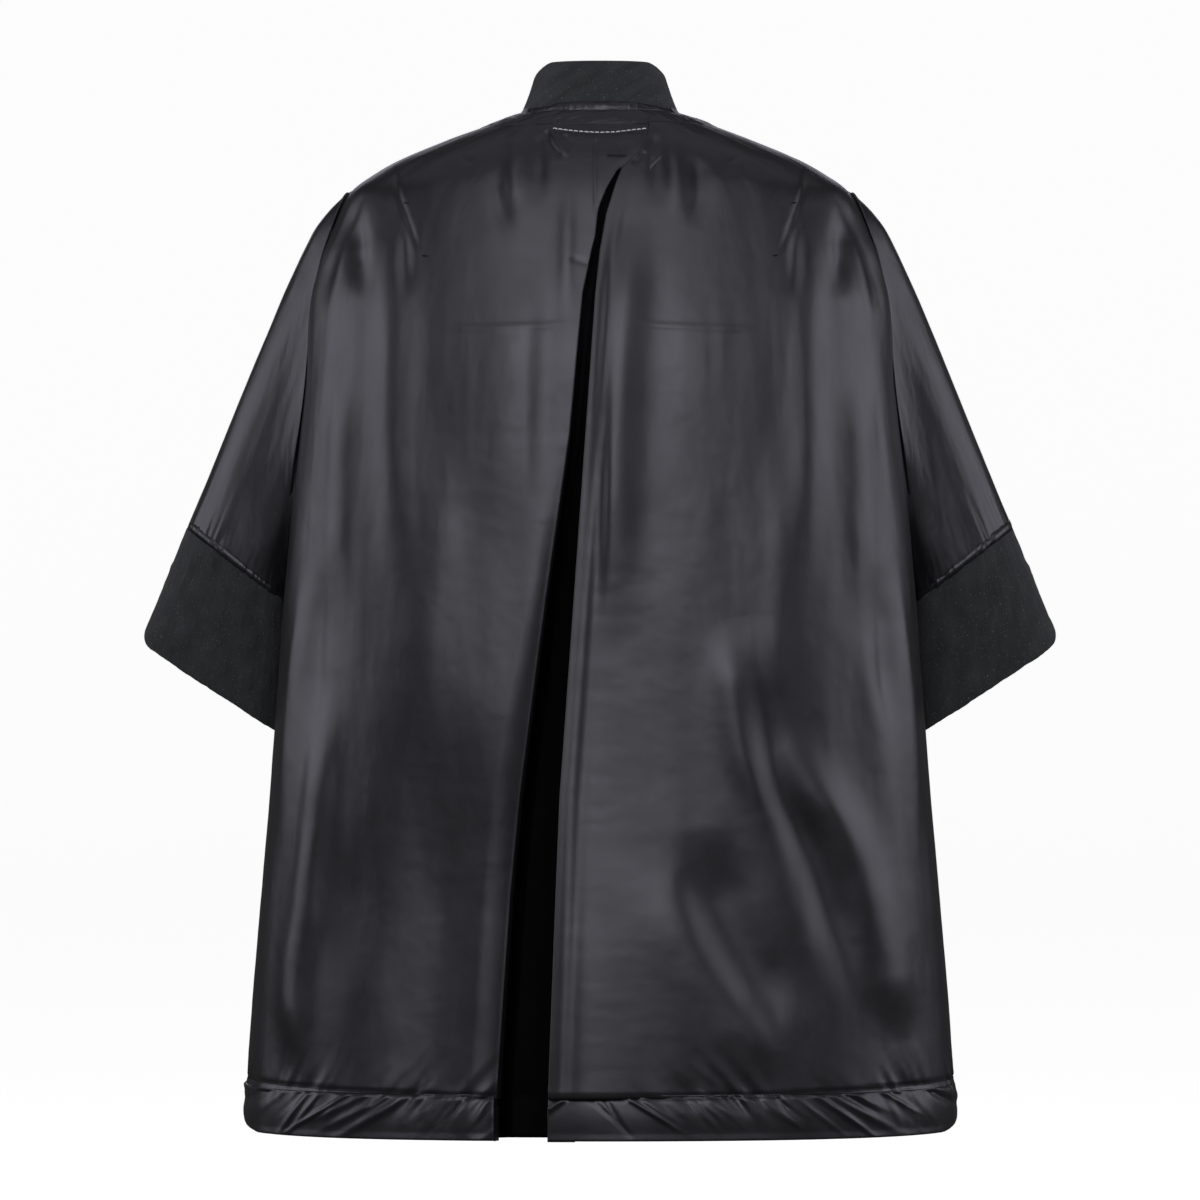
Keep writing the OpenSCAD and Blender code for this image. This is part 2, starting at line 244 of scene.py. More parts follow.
def body(s, t):
    """Points of the body: t is 0 degrees at the centre back and 90 at the wearer's right."""
    z, half, back, front, drop = at(s)
    c, n = np.cos(np.radians(t)), np.sin(np.radians(t))
    depth = np.where(c > 0, back, front)
    return np.stack([half * power(n), -depth * power(c),
                     z - drop * np.maximum(0, -c) ** 1.5], -1)


def back_t(s, x):
    half = at(s)[1]
    ratio = np.clip(np.abs(x) / half, 0, 1)
    return np.sign(x) * np.degrees(np.arcsin(ratio ** (1 / SQUARE)))


def front_t(s, x):
    return 180 - back_t(s, x)


# ---------------------------------------------------------------- laying cloth on the profile


def skin(s, t, aside=0.0, out=0.0):
    """Points at s, t, moved aside along the width and out along the normal."""
    s, t = np.broadcast_arrays(np.asarray(s, float), np.asarray(t, float))
    step_s, step_t = 0.0005, 0.05
    down = body(s + step_s, t) - body(s - step_s, t)
    across = unit(body(s, t + step_t) - body(s, t - step_t))
    normal = unit(np.cross(down, across))
    return body(s, t) + across * np.asarray(aside)[..., None] + normal * np.asarray(out)[..., None]


def spread(s, t0, t1, cols):
    """Angles of evenly spaced columns between t0 and t1 on each row, and their distances."""
    dense = np.linspace(0, 1, 240)
    t = t0[:, None] + (t1 - t0)[:, None] * dense
    line = body(s[:, None], t)
    run = np.concatenate([np.zeros((len(s), 1)),
                          np.cumsum(np.linalg.norm(np.diff(line, axis=1), axis=2), axis=1)], 1)
    angles, lengths = [], []
    for i in range(len(s)):
        want = np.linspace(0, run[i, -1], cols)
        angles.append(np.interp(want, run[i], t[i]))
        lengths.append(want)
    return np.array(angles), np.array(lengths)


# ---------------------------------------------------------------- edges read from the CAD panels


def edge_of(node, pick):
    """One edge of a panel: the heights of its rows, rising, and their x."""
    return np.array([(z, pick(row[:, 0])) for z, row in levels(points_of(node))])[::-1].T


flap_edge = edge_of("back_right_panel", np.min)
soft_edge = edge_of("back_left_panel", np.max)


def flap_x(z):
    """The crisp edge of the pleat; over its head it turns out to the neck seam."""
    cut = np.interp(z, *flap_edge)
    head = np.interp(-np.asarray(z), [0.014, 0.024, 0.041, 0.047, 0.054, 0.06],
                     [0.048, 0.047, 0.040, 0.034, 0.027, 0.021])
    return np.where(z > -0.06, head, cut)


def soft_x(z):
    """The soft edge of the pleat, which gapes a little from its head down."""
    cut = np.interp(z, *flap_edge)
    gape = cut - np.interp(z, *soft_edge)
    head = np.interp(-np.asarray(z), [.050, .061, .080, .098, .112, .128],
                     [0, .003, .0052, .0055, .003, 0])
    return flap_x(z) - gape - head


shoulder = np.array(next(j for j in frame["joints"] if j["name"] == "right_sleeve_lift")["pos_m"])
arm_points = points_of("right_sleeve")
ARM_BACK = -arm_points[:, 1].min()
ARM_Z = arm_points[np.argmin(arm_points[:, 1]), 2]
ARM_H = shoulder[2] - ARM_Z
ARM_TOP, ARM_LOW = ARM_Z + ARM_H, ARM_Z - ARM_H
front_points = points_of("front_right_panel")
near = front_points[np.abs(front_points[:, 2] - ARM_Z) < 0.03]
ARM_FRONT = near[:, 1].min()


def arm_y(z, reach):
    return reach * np.sqrt(np.maximum(0, 1 - ((z - ARM_Z) / ARM_H) ** 2))


def back_end(s):
    """The angle where the back panel ends, at the side seam or at the armhole."""
    z, _, back, _, _ = at(s)
    return np.degrees(np.arccos(np.clip(arm_y(z, ARM_BACK) / back, 0, 1) ** (1 / SQUARE)))


def front_end(s):
    z, _, _, front, _ = at(s)
    return 180 - np.degrees(np.arccos(np.clip(arm_y(z, ARM_FRONT) / front, 0, 1) ** (1 / SQUARE)))


hem_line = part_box("hem_back_right")[1][2]
seam_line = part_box("back_right_panel")[1][2]
under_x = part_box("front_left_panel")[1][0]
over_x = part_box("front_flap")[0][0]
hinge = next(j for j in frame["joints"] if j["name"] == "front_flap_open")
HINGE_AXIS = np.array(hinge["axis"]) / np.linalg.norm(hinge["axis"])

# ---------------------------------------------------------------- folds of the hanging cloth
# Each fold: its path as (x, z) from the top down, height (minus for a valley), its width to the
# left and to the right, and the shares of its length over which its two ends die away.
# All lengths are in millimetres, and PAIRED folds lie on both halves, mirrored.

PAIRED = [
    ([(-208, -96), (-206, -192), (-207, -260), (-207, -340), (-204, -400), (-198, -500)],
     4.8, 15, 24, .3, .4),
    ([(-193, -108), (-192, -150), (-190, -196)], -2.5, 7, 7, .4, .5),
    ([(-238, -92), (-240, -140), (-236, -192)], -5.0, 12, 10, .4, .5),
    ([(-226, -70), (-249, -105), (-269, -150), (-281, -215)], -4.0, 8, 8, .3, .4),
    ([(-262, -84), (-279, -130), (-288, -190), (-294, -280)], 3.5, 8, 8, .3, .4),
    ([(-203, -50), (-200, -82), (-192, -103), (-178, -142), (-168, -153)], -0.8, 2.0, 2.0, .1, .3),
    ([(-197, -56), (-194, -82), (-186, -103), (-172, -140)], .2, 3, 5, .2, .4),
    ([(-250, -250), (-256, -330), (-258, -420), (-262, -520)], 4.5, 14, 14, .3, .4),
    ([(-288, -420), (-303, -560), (-311, -650), (-313, -760)], 4.0, 8, 16, .4, .4),
    ([(-272, -440), (-280, -520), (-282, -620)], -4.0, 12, 10, .4, .4),
    ([(-137, -44), (-133, -52), (-122, -55)], -0.8, 3.0, 3.0, .4, .4),
]
BACK_LEFT = [
    ([(-68, -140), (-73, -220), (-76, -340), (-74, -470)], 3.4, 36, 15, .3, .4),
    ([(-52, -160), (-56, -280), (-58, -420)], -1.4, 17, 15, .4, .5),
    ([(-150, -300), (-156, -420), (-166, -520), (-176, -640)], 2.6, 44, 22, .4, .4),
    ([(-30, -60), (-32, -120), (-34, -230)], 2.0, 9, 8, .4, .5),
    ([(-60, -16), (-60, -50), (-63, -104)], -3.2, 10, 9, .2, .5),
    ([(-104, -60), (-99, -90), (-94, -126)], -2.4, 9, 11, .3, .4),
    ([(-82, -20), (-84, -60), (-88, -110)], 2.5, 8, 9, .2, .6),
    ([(-262, -560), (-274, -641), (-288, -778), (-303, -866), (-293, -962)], 9.0, 15, 16, .3, .2),
    ([(-240, -690), (-242, -780), (-240, -880)], -4.0, 26, 26, .5, .5),
    ([(-140, -560), (-158, -780), (-160, -1030)], -14.0, 66, 72, .5, .01),
    ([(-53, -20), (-51, -34), (-44, -44), (-36, -52)], -1.8, 2.2, 3.5, .1, .3),
    ([(-46, -22), (-45, -32), (-38, -42), (-30, -50)], 1.6, 3, 4, .2, .3),
    ([(-36, -24), (-31, -33), (-24, -38)], -1.3, 3, 3, .3, .4),
    ([(-4, -28), (-5, -60), (-4, -108)], -1.1, 1.6, 1.6, .1, .3),
    ([(-33, -149), (-20, -153), (-6, -157)], -0.8, 1.8, 2.6, .3, .3),
    ([(-24, -214), (-80, -219), (-158, -219)], .7, 2.4, 2.4, .2, .2),
]
BACK_RIGHT = [
    ([(54, -18), (55, -50), (58, -104)], -3.0, 10, 10, .2, .5),
    ([(96, -40), (98, -70), (94, -122)], -2.6, 9, 11, .3, .4),
    ([(70, -20), (73, -60), (76, -120)], 2.5, 8, 9, .2, .6),
    ([(24, -110), (18, -180), (13, -260), (12, -400), (14, -540)], 7.0, 12, 26, .2, .4),
    ([(84, -100), (84, -300), (84, -480), (84, -640)], 1.6, 24, 34, .2, .4),
    ([(172, -300), (178, -420), (176, -520), (172, -640)], 2.4, 20, 40, .4, .4),
    ([(126, -500), (130, -560), (136, -610), (150, -660), (172, -700), (190, -730)],
     6.5, 20, 36, .3, .45),
    ([(150, -520), (158, -600), (170, -660), (200, -715), (220, -770), (236, -830), (252, -890)],
     -6.0, 20, 18, .3, .3),
    ([(186, -600), (204, -660), (248, -720), (270, -790), (284, -850), (296, -920)],
     7.0, 24, 20, .35, .2),
    ([(250, -480), (272, -600), (290, -700), (304, -800), (312, -900)], 3.5, 14, 14, .3, .3),
    ([(62, -720), (66, -760), (78, -800), (112, -860), (150, -915), (182, -960)],
     5.0, 40, 22, .35, .3),
    ([(104, -700), (112, -760), (128, -810), (156, -860), (192, -910)], -6.5, 34, 34, .35, .3),
    ([(6, -600), (2, -760), (0, -1030)], 12.0, 50, 90, .95, .01),
    ([(44, -42), (40, -50), (30, -56)], -1.6, 2, 3, .2, .3),
    ([(36, -26), (30, -36), (20, -42)], -1.4, 3, 3, .3, .4),
    ([(24, -214), (80, -219), (158, -219)], .7, 2.4, 2.4, .2, .2),
]
FRONT = [
    ([(120, -110), (118, -300), (128, -560), (150, -960)], 5.0, 34, 34, .2, .1),
    ([(-120, -110), (-116, -300), (-132, -560), (-160, -960)], 5.0, 34, 34, .2, .1),
    ([(210, -240), (222, -480), (262, -960)], 6.0, 24, 26, .3, .1),
    ([(-214, -240), (-230, -460), (-258, -960)], 6.0, 24, 26, .3, .1),
    ([(176, -300), (186, -560), (215, -960)], -5.0, 20, 22, .3, .1),
    ([(-178, -300), (-192, -560), (-222, -960)], -5.0, 20, 22, .3, .1),
    ([(64, -300), (68, -560), (82, -960)], -3.5, 22, 22, .3, .1),
    ([(-70, -300), (-66, -560), (-86, -960)], -3.5, 22, 22, .3, .1),
]


def mirrored(folds):
    return [([(-x, z) for x, z in path], high, right, left, a, b)
            for path, high, left, right, a, b in folds]


def rounded(path, rounds=3):
    path = np.array(path, float)
    for _ in range(rounds):
        cut = np.stack([0.75 * path[:-1] + 0.25 * path[1:], 0.25 * path[:-1] + 0.75 * path[1:]], 1)
        path = np.concatenate([path[:1], cut.reshape(-1, 2), path[-1:]])
    return path


def fold_height(x, z, folds):
    """Sum of the folds at x, z, all in millimetres."""
    total = np.zeros(x.shape)
    for path, high, left, right, start, end in folds:
        line = rounded(path)
        reach = 4 * max(left, right)
        low, top = line.min(0) - reach, line.max(0) + reach
        near = (x > low[0]) & (x < top[0]) & (z > low[1]) & (z < top[1])
        if not near.any():
            continue
        p = np.stack([x[near], z[near]], -1)[:, None]
        a, b = line[:-1], line[1:]
        d = b - a
        f = np.clip(((p - a) * d).sum(-1) / (d ** 2).sum(-1), 0, 1)
        away = p - (a + f[..., None] * d)
        gap = np.linalg.norm(away, axis=-1)
        best = gap.argmin(1)
        k = np.arange(len(best))
        side = d[best, 0] * away[k, best, 1] - d[best, 1] * away[k, best, 0]
        run = run_along(line)
        u = (run[best] + f[k, best] * (run[best + 1] - run[best])) / run[-1]
        wide = np.where(side > 0, right, left)
        shape = bump(gap[k, best], wide)
        total[near] += high * shape * smooth(u / start) * smooth((1 - u) / end)
    return total


def stitch_z(x):
    """Height of the hem's stitch line at distance x, both in millimetres."""
    base = hem_line / MM
    return base - 3 + 9 * (np.abs(x) / 350) ** 2


CRUMPLE_SEED = 11       # one seed for every panel and band, so that they meet without a step


def relief(s, t, folds):
    """How far the cloth stands out from the profile at s, t, in metres."""
    seed = CRUMPLE_SEED
    p = body(s, t)
    x, z = p[..., 0] / MM, p[..., 2] / MM
    side = 90 - np.abs(np.abs((t + 180) % 360 - 180) - 90)
    calm = smooth((90 - side) / 14)
    high = fold_height(x, z, folds) * calm
    round_mm = 250 * np.radians(t)
    down = s / MM
    high += 0.8 * rough(round_mm / 70, down / 330, seed) * smooth(down / 120)
    high += 0.16 * rough(round_mm / 17, down / 80, seed + 3)
    high += 0.10 * rough(round_mm / 26, down / 22, seed + 5)
    high += 0.03 * rough(round_mm / 6, down / 6, seed + 6)
    off = z - stitch_z(x)
    slant = np.tanh(x / 40)
    gather = rough(round_mm / 9 + slant * off / 16, down / 60, seed + 9)
    patchy = 0.6 + 0.8 * noise(round_mm / 60, 0 * down, seed + 8)
    at_side = smooth((side - 76) / 10)
    high += lerp(3.0, 0.8, at_side) * gather * patchy * np.exp(-np.abs(off) / 15)
    high -= 1.6 * bump(off, 2.0)
    high -= 0.9 * bump(side - 90, 0.35) * (z < ARM_LOW / MM)
    return high * MM


# ---------------------------------------------------------------- building pieces


def piece(name, grid, material, thick=0, around=False, close_ends=False):
    """A mesh from a grid of points. around joins the last column to the first, and close_ends
    the last row to the first; thick is the cloth's thickness, added inwards."""
    m, n = grid.shape[:2]
    rows = np.arange(m if close_ends else m - 1)
    cols = np.arange(n if around else n - 1)
    i, j = (v.ravel() for v in np.meshgrid(rows, cols, indexing="ij"))
    i1, j1 = i + 1, j + 1
    quads = np.stack([i * n + j, (i1 % m) * n + j, (i1 % m) * n + j1 % n, i * n + j1 % n], 1)
    mesh = bpy.data.meshes.new(name)
    mesh.vertices.add(m * n)
    mesh.vertices.foreach_set("co", grid.reshape(-1).astype(np.float32))
    mesh.loops.add(quads.size)
    mesh.loops.foreach_set("vertex_index", quads.ravel().astype(np.int32))
    mesh.polygons.add(len(quads))
    mesh.polygons.foreach_set("loop_start", np.arange(0, quads.size, 4, dtype=np.int32))
    mesh.update(calc_edges=True)
    u, v = surface_uv(grid, around)
    u = np.concatenate([u, 2 * u[:, -1:] - u[:, -2:-1]], 1)
    v = np.concatenate([v, v[:, :1]], 1)
    u = np.concatenate([u, u[:1]], 0)
    v = np.concatenate([v, 2 * v[-1:] - v[-2:-1]], 0)
    corners = np.stack([np.stack([u[a, b], v[a, b]], -1)
                        for a, b in ((i, j), (i1, j), (i1, j1), (i, j1))], 1)
    layer = mesh.uv_layers.new(name="cloth")
    layer.data.foreach_set("uv", corners.reshape(-1).astype(np.float32))
    mesh.polygons.foreach_set("use_smooth", np.ones(len(quads), bool))
    mesh.materials.append(material)
    mesh.validate()
    obj = add_object(name, mesh)
    if thick:
        solid = obj.modifiers.new("thickness", "SOLIDIFY")
        solid.thickness = thick
        solid.offset = -1
    return obj


def distances(grid):
    """UV of a grid in metres: along its columns and down its rows."""
    u = np.concatenate([np.zeros((grid.shape[0], 1)),
                        np.cumsum(np.linalg.norm(np.diff(grid, axis=1), axis=2), axis=1)], 1)
    v = np.concatenate([np.zeros((1, grid.shape[1])),
                        np.cumsum(np.linalg.norm(np.diff(grid, axis=0), axis=2), axis=0)], 0)
    return u, -v


def surface_uv(grid, around):
    if not around:
        return distances(grid)
    u, v = distances(np.concatenate([grid, grid[:, :1]], 1))
    return u[:, :-1], v[:, :-1]


def thread(name, points, normals, stitch, gap, radius, material):
    """A row of stitches along points."""
    run = run_along(points)
    count = max(int(run[-1] / (stitch + gap)), 1)
    pitch = run[-1] / count
    ring = np.radians(np.arange(0, 360, 45))
    share = np.array([0, .04, .15, .5, .85, .96, 1])
    girth = np.array([.15, .65, 1, 1.05, 1, .65, .15])
    verts, faces = [], []
    for k in range(count):
        r = k * pitch + share * stitch * pitch / (stitch + gap)
        p = np.stack([np.interp(r, run, points[:, c]) for c in range(3)], 1)
        n = unit(np.stack([np.interp(r, run, normals[:, c]) for c in range(3)], 1))
        along = unit(np.gradient(p, axis=0))
        side = np.cross(along, n)
        p = p + n * (radius * np.sin(np.pi * share) * 0.8)[:, None]
        base = len(verts)
        for c, nn, ss, g in zip(p, n, side, girth):
            verts += [c + radius * g * (np.cos(a) * nn + np.sin(a) * ss) for a in ring]
        m = len(ring)
        for a in range(len(share) - 1):
            for b in range(m):
                c = (b + 1) % m
                faces.append((base + a * m + b, base + a * m + c,
                              base + (a + 1) * m + c, base + (a + 1) * m + b))
        faces.append(tuple(base + b for b in reversed(range(m))))
        faces.append(tuple(base + (len(share) - 1) * m + b for b in range(m)))
    mesh = bpy.data.meshes.new(name)
    mesh.from_pydata([tuple(v) for v in verts], [], faces)
    mesh.polygons.foreach_set("use_smooth", np.ones(len(faces), bool))
    mesh.materials.append(material)
    return add_object(name, mesh)


def sewn(name, s, t, high, lift, stitch, gap, radius, material):
    """Stitches along s, t, lifted off cloth that stands out by high."""
    points = skin(s, t, 0.0, high + lift)
    normals = unit(points - skin(s, t, 0.0, high))
    return thread(name, points, normals, stitch, gap, radius, material)


# ---------------------------------------------------------------- materials


def link(tree, a, out, b, into):
    tree.links.new(a.outputs[out], b.inputs[into])


def shader(name):
    material = bpy.data.materials.new(name)
    material.use_nodes = True
    tree = material.node_tree
    return material, tree, tree.nodes["Principled BSDF"]


def settle(node, **values):
    """Constants for a node's sockets; an underscore stands for a space."""
    for name, value in values.items():
        node.inputs[name.replace("_", " ")].default_value = value


def scaled(tree, scale):
    coords = tree.nodes.new("ShaderNodeTexCoord")
    mapping = tree.nodes.new("ShaderNodeMapping")
    mapping.inputs["Scale"].default_value = scale
    link(tree, coords, "UV", mapping, "Vector")
    return mapping


def texture(tree, kind, source, out, **values):
    node = tree.nodes.new("ShaderNodeTex" + kind)
    settle(node, **values)
    link(tree, source, out, node, "Vector")
    return node


def noise_node(tree, scale, detail):
    return texture(tree, "Noise", scaled(tree, scale), "Vector", Scale=1.0, Detail=detail)


def ramp(tree, source, out, low, high, a, b):
    node = tree.nodes.new("ShaderNodeMapRange")
    settle(node, From_Min=low, From_Max=high, To_Min=a, To_Max=b)
    link(tree, source, out, node, "Value")
    return node


def tint(tree, factor, out, a, b):
    """A mix of a, a colour or another mix, and the colour b."""
    node = tree.nodes.new("ShaderNodeMix")
    node.data_type = "RGBA"
    if isinstance(a, tuple):
        node.inputs[6].default_value = (*a, 1)
    else:
        link(tree, a, 2, node, 6)
    node.inputs[7].default_value = (*b, 1)
    link(tree, factor, out, node, 0)
    return node


def added(tree, a, a_out, b, b_out, share):
    node = tree.nodes.new("ShaderNodeMath")
    node.operation = "MULTIPLY_ADD"
    link(tree, b, b_out, node, 0)
    node.inputs[1].default_value = share
    link(tree, a, a_out, node, 2)
    return node


def bumped(tree, source, out, bsdf, strength, distance):
    node = tree.nodes.new("ShaderNodeBump")
    settle(node, Strength=strength, Distance=distance)
    link(tree, source, out, node, "Height")
    link(tree, node, "Normal", bsdf, "Normal")


def satin_cloth(name, dark, light, rough_low, rough_high, specular, sheen=0.0, grain=0.5):
    """Warp-faced satin: long yarn floats down the cloth, slubs, and soft mottling."""
    material, tree, bsdf = shader(name)
    mottle = noise_node(tree, (28, 16, 1), 4)
    slub = noise_node(tree, (900, 45, 1), 2)
    floats = noise_node(tree, (2600, 520, 1), 1)
    tone = added(tree, mottle, "Fac", slub, "Fac", 0.5)
    colour = tint(tree, ramp(tree, tone, "Value", 0.5, 1.0, 0, 1), "Result", dark, light)
    link(tree, colour, 2, bsdf, "Base Color")
    link(tree, ramp(tree, tone, "Value", 0.45, 1.05, rough_low, rough_high), "Result",
         bsdf, "Roughness")
    bumped(tree, added(tree, floats, "Fac", slub, "Fac", 0.6), "Value", bsdf, grain, 0.00012)
    settle(bsdf, Specular_IOR_Level=specular, Sheen_Weight=sheen, Sheen_Roughness=0.45)
    return material


def knit_cloth(name, dark, light, lint):
    """Fine felted rib with paler fibres caught in it."""
    material, tree, bsdf = shader(name)
    ribs = texture(tree, "Wave", scaled(tree, (150, 24, 1)), "Vector",
                   Scale=1.0, Distortion=1.6, Detail=2.0)
    loops = noise_node(tree, (1500, 900, 1), 2)
    mottle = noise_node(tree, (60, 40, 1), 5)
    fleck = noise_node(tree, (620, 480, 1), 1)
    tone = added(tree, mottle, "Fac", loops, "Fac", 0.8)
    colour = tint(tree, ramp(tree, tone, "Value", 0.6, 1.2, 0, 1), "Result", dark, light)
    specks = tint(tree, ramp(tree, fleck, "Fac", 0.68, 0.76, 0, 0.8), "Result", colour, lint)
    link(tree, specks, 2, bsdf, "Base Color")
    link(tree, ramp(tree, tone, "Value", 0.6, 1.2, 0.85, 1.0), "Result", bsdf, "Roughness")
    height = added(tree, ribs, "Fac", loops, "Fac", 1.4)
    bumped(tree, height, "Value", bsdf, 0.5, 0.0004)
    settle(bsdf, Specular_IOR_Level=0.18, Sheen_Weight=0.08, Sheen_Roughness=0.6)
    return material


def metal(name, colour, rough_low, rough_high):
    """Plated steel, faintly brushed and spotted."""
    material, tree, bsdf = shader(name)
    coords = tree.nodes.new("ShaderNodeTexCoord")
    spots = texture(tree, "Noise", coords, "Object", Scale=900, Detail=4)
    colour_mix = tint(tree, spots, "Fac", tuple(0.8 * c for c in colour), colour)
    link(tree, colour_mix, 2, bsdf, "Base Color")
    link(tree, ramp(tree, spots, "Fac", 0.3, 0.7, rough_low, rough_high), "Result",
         bsdf, "Roughness")
    bumped(tree, spots, "Fac", bsdf, 0.15, 0.00005)
    bsdf.inputs["Metallic"].default_value = 1.0
    return material


def yarn(name, dark, light, specular=0.3):
    """Twisted sewing thread."""
    material, tree, bsdf = shader(name)
    coords = tree.nodes.new("ShaderNodeTexCoord")
    twist = texture(tree, "Wave", coords, "Object", Scale=700)
    twist.bands_direction = "DIAGONAL"
    colour = tint(tree, twist, "Fac", dark, light)
    link(tree, colour, 2, bsdf, "Base Color")
    link(tree, ramp(tree, twist, "Fac", 0, 1, 0.5, 0.7), "Result", bsdf, "Roughness")
    bumped(tree, twist, "Fac", bsdf, 0.4, 0.0001)
    bsdf.inputs["Specular IOR Level"].default_value = specular
    return material


SATIN = satin_cloth("satin", (.0045, .0043, .0049), (.0075, .0072, .0083), .33, .41, .68, .01)
# The pleat's underlay is the same satin, painted near black and matt: painted shade for the
# pleat's deep hollow.
PLEAT_SHADE = satin_cloth("pleat_satin", (.0012, .0012, .0013), (.002, .002, .0022), .6, .75, .06)
LINING = satin_cloth("lining", (.007, .007, .008), (.013, .013, .015), .45, .6, .4)
KNIT = knit_cloth("knit", (.022, .0243, .0228), (.047, .0505, .048), (.20, .22, .20))
LABEL = satin_cloth("label", (.008, .008, .009), (.016, .016, .018), .55, .7, .3, 0, .8)
WHITE = yarn("white_thread", (.62, .62, .60), (.86, .86, .84))
BLACK = yarn("black_thread", (.006, .006, .007), (.016, .016, .018))
STEEL = metal("stud_metal", (.55, .56, .58), .22, .38)
SPRING = metal("spring_steel", (.66, .66, .68), .15, .3)

# ---------------------------------------------------------------- back panels and pleat

CLOTH_T = 0.0008


def keep(obj, body_name, slot_name, *nodes):
    """Hides the CAD nodes a piece stands for and rides it on its body; slot_name is not used."""
    if nodes:
        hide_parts(*nodes)
    if body_name:
        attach(obj, body_name)
    return obj


def satin(name, grid, body_name, *nodes, around=False):
    return keep(piece(name, grid, SATIN, CLOTH_T, around), body_name, "satin", *nodes)


def with_turns(grid, s, t, high, before, after):
    """The grid with the columns that turn in at its two edges, given as (aside, out) offsets."""
    edges = []
    for column, sign, offsets in ((0, -1, before), (-1, 1, after)):
        edges.append([skin(s, t[:, column], sign * a + 0 * s, high[:, column] + b)[:, None]
                      for a, b in offsets or []])
    return np.concatenate(edges[0][::-1] + [grid] + edges[1], 1)


def panel_grid(s, t0, t1, folds, before, after, extra):
    """A panel between angles t0 and t1. before and after list (aside, out) offsets of the columns
    that turn in at its two edges; extra(s, t, distances) adds to its height."""
    t, run = spread(s, t0, t1, PANEL_COLS)
    rows = s[:, None]
    high = relief(rows, t, folds) + extra(rows, t, run)
    return with_turns(skin(rows, t, 0.0, high), s, t, high, before, after)


def roll(radius, angles):
    """Offsets (aside, out) round a roll; the radius may be an array over the rows."""
    return [(radius * math.sin(a), -radius * (1 - math.cos(a))) for a in np.radians(angles)]


def turn(radius, angle, steps):
    return roll(radius, np.linspace(0, angle, steps + 1)[1:])


def arm_roll(s):
    """The turned-in edge of a panel along the armhole; below it the edge closes to a side seam."""
    z = at(s)[0]
    open_ = smooth((z - ARM_LOW) / 0.02) * smooth((ARM_TOP + 0.012 - z) / 0.02)
    return turn(0.0003 + 0.0016 * open_, 150, 6)


FOLDS_L = BACK_LEFT + PAIRED
FOLDS_R = BACK_RIGHT + mirrored(PAIRED)
PANEL_ROWS = 390
PANEL_COLS = 150

s_top = s_of(seam_line) - 0.003
s_hem = s_of(hem_line)
back_s = np.linspace(s_top, s_hem + 0.004, PANEL_ROWS)
back_z = at(back_s)[0]


def flap_lift(z):
    """How far the flap stands off the panel beneath it."""
    return 0.0012 + 0.0035 * smooth((-z - 0.05) / 0.12) + 0.002 * smooth((-z - 0.5) / 0.4)


def flap_shape(s, t, run):
    """The crisp edge, the soft ridge just inside it and the hollow beyond."""
    z = at(s)[0]
    lift = flap_lift(z) * np.exp(-(run / 0.075) ** 2)
    ridge = 0.0012 * bump(run - 0.011, 0.005) - 0.0010 * bump(run - 0.020, 0.007)
    return lift + ridge * smooth((-z - 0.06) / 0.1)


def flap_turn(s):
    """The flap's edge folded back under itself."""
    r = 0.0012 * np.ones_like(s)
    back = turn(r, 180, 8)
    for d in (0.004, 0.010, 0.018, 0.028):
        back.append((-d * np.ones_like(s), -2 * r - 0.02 * d))
    return back


def soft_fall(s, t, run):
    """The left panel leans into the pleat before it turns in."""
    deep = smooth((-at(s)[0] - 0.30) / 0.42)
    wide = 0.010 + 0.016 * deep
    near_edge = np.clip(1 - (run[:, -1:] - run) / wide, 0, 1)
    return -(0.0005 + 0.0080 * deep) * near_edge ** 1.7


SOFT_R = 0.002          # roll of the pleat's soft edge


def make_back(side):
    if side == "right":
        t0, t1 = back_t(back_s, flap_x(back_z) + 0.0012), back_end(back_s)
        grid = panel_grid(back_s, t0, t1, FOLDS_R, flap_turn(back_s), arm_roll(back_s),
                          flap_shape)
    else:
        gape = flap_x(back_z) - soft_x(back_z)
        wide = smooth(gape / 0.004)
        t0, t1 = -back_end(back_s), back_t(back_s, soft_x(back_z) - SOFT_R * wide)
        edge = []
        for k, (aside, out) in enumerate(turn(SOFT_R, 96, 9), 1):
            flat = 0.0018 * k
            edge.append((aside * wide + flat * (1 - wide),
                         out * wide - 0.0012 * (1 - wide) * smooth(k / 3)))
        last_aside, last_out = edge[-1]
        for d in (0.004, 0.009, 0.015):
            edge.append((last_aside + 0.1 * d * wide + d * (1 - wide), last_out - d * wide))
        grid = panel_grid(back_s, t0, t1, FOLDS_L, arm_roll(back_s), edge, soft_fall)
    return satin(f"back_{side}_satin", grid, "garment", f"back_{side}_panel")


back_right = make_back("right")
back_left = make_back("left")


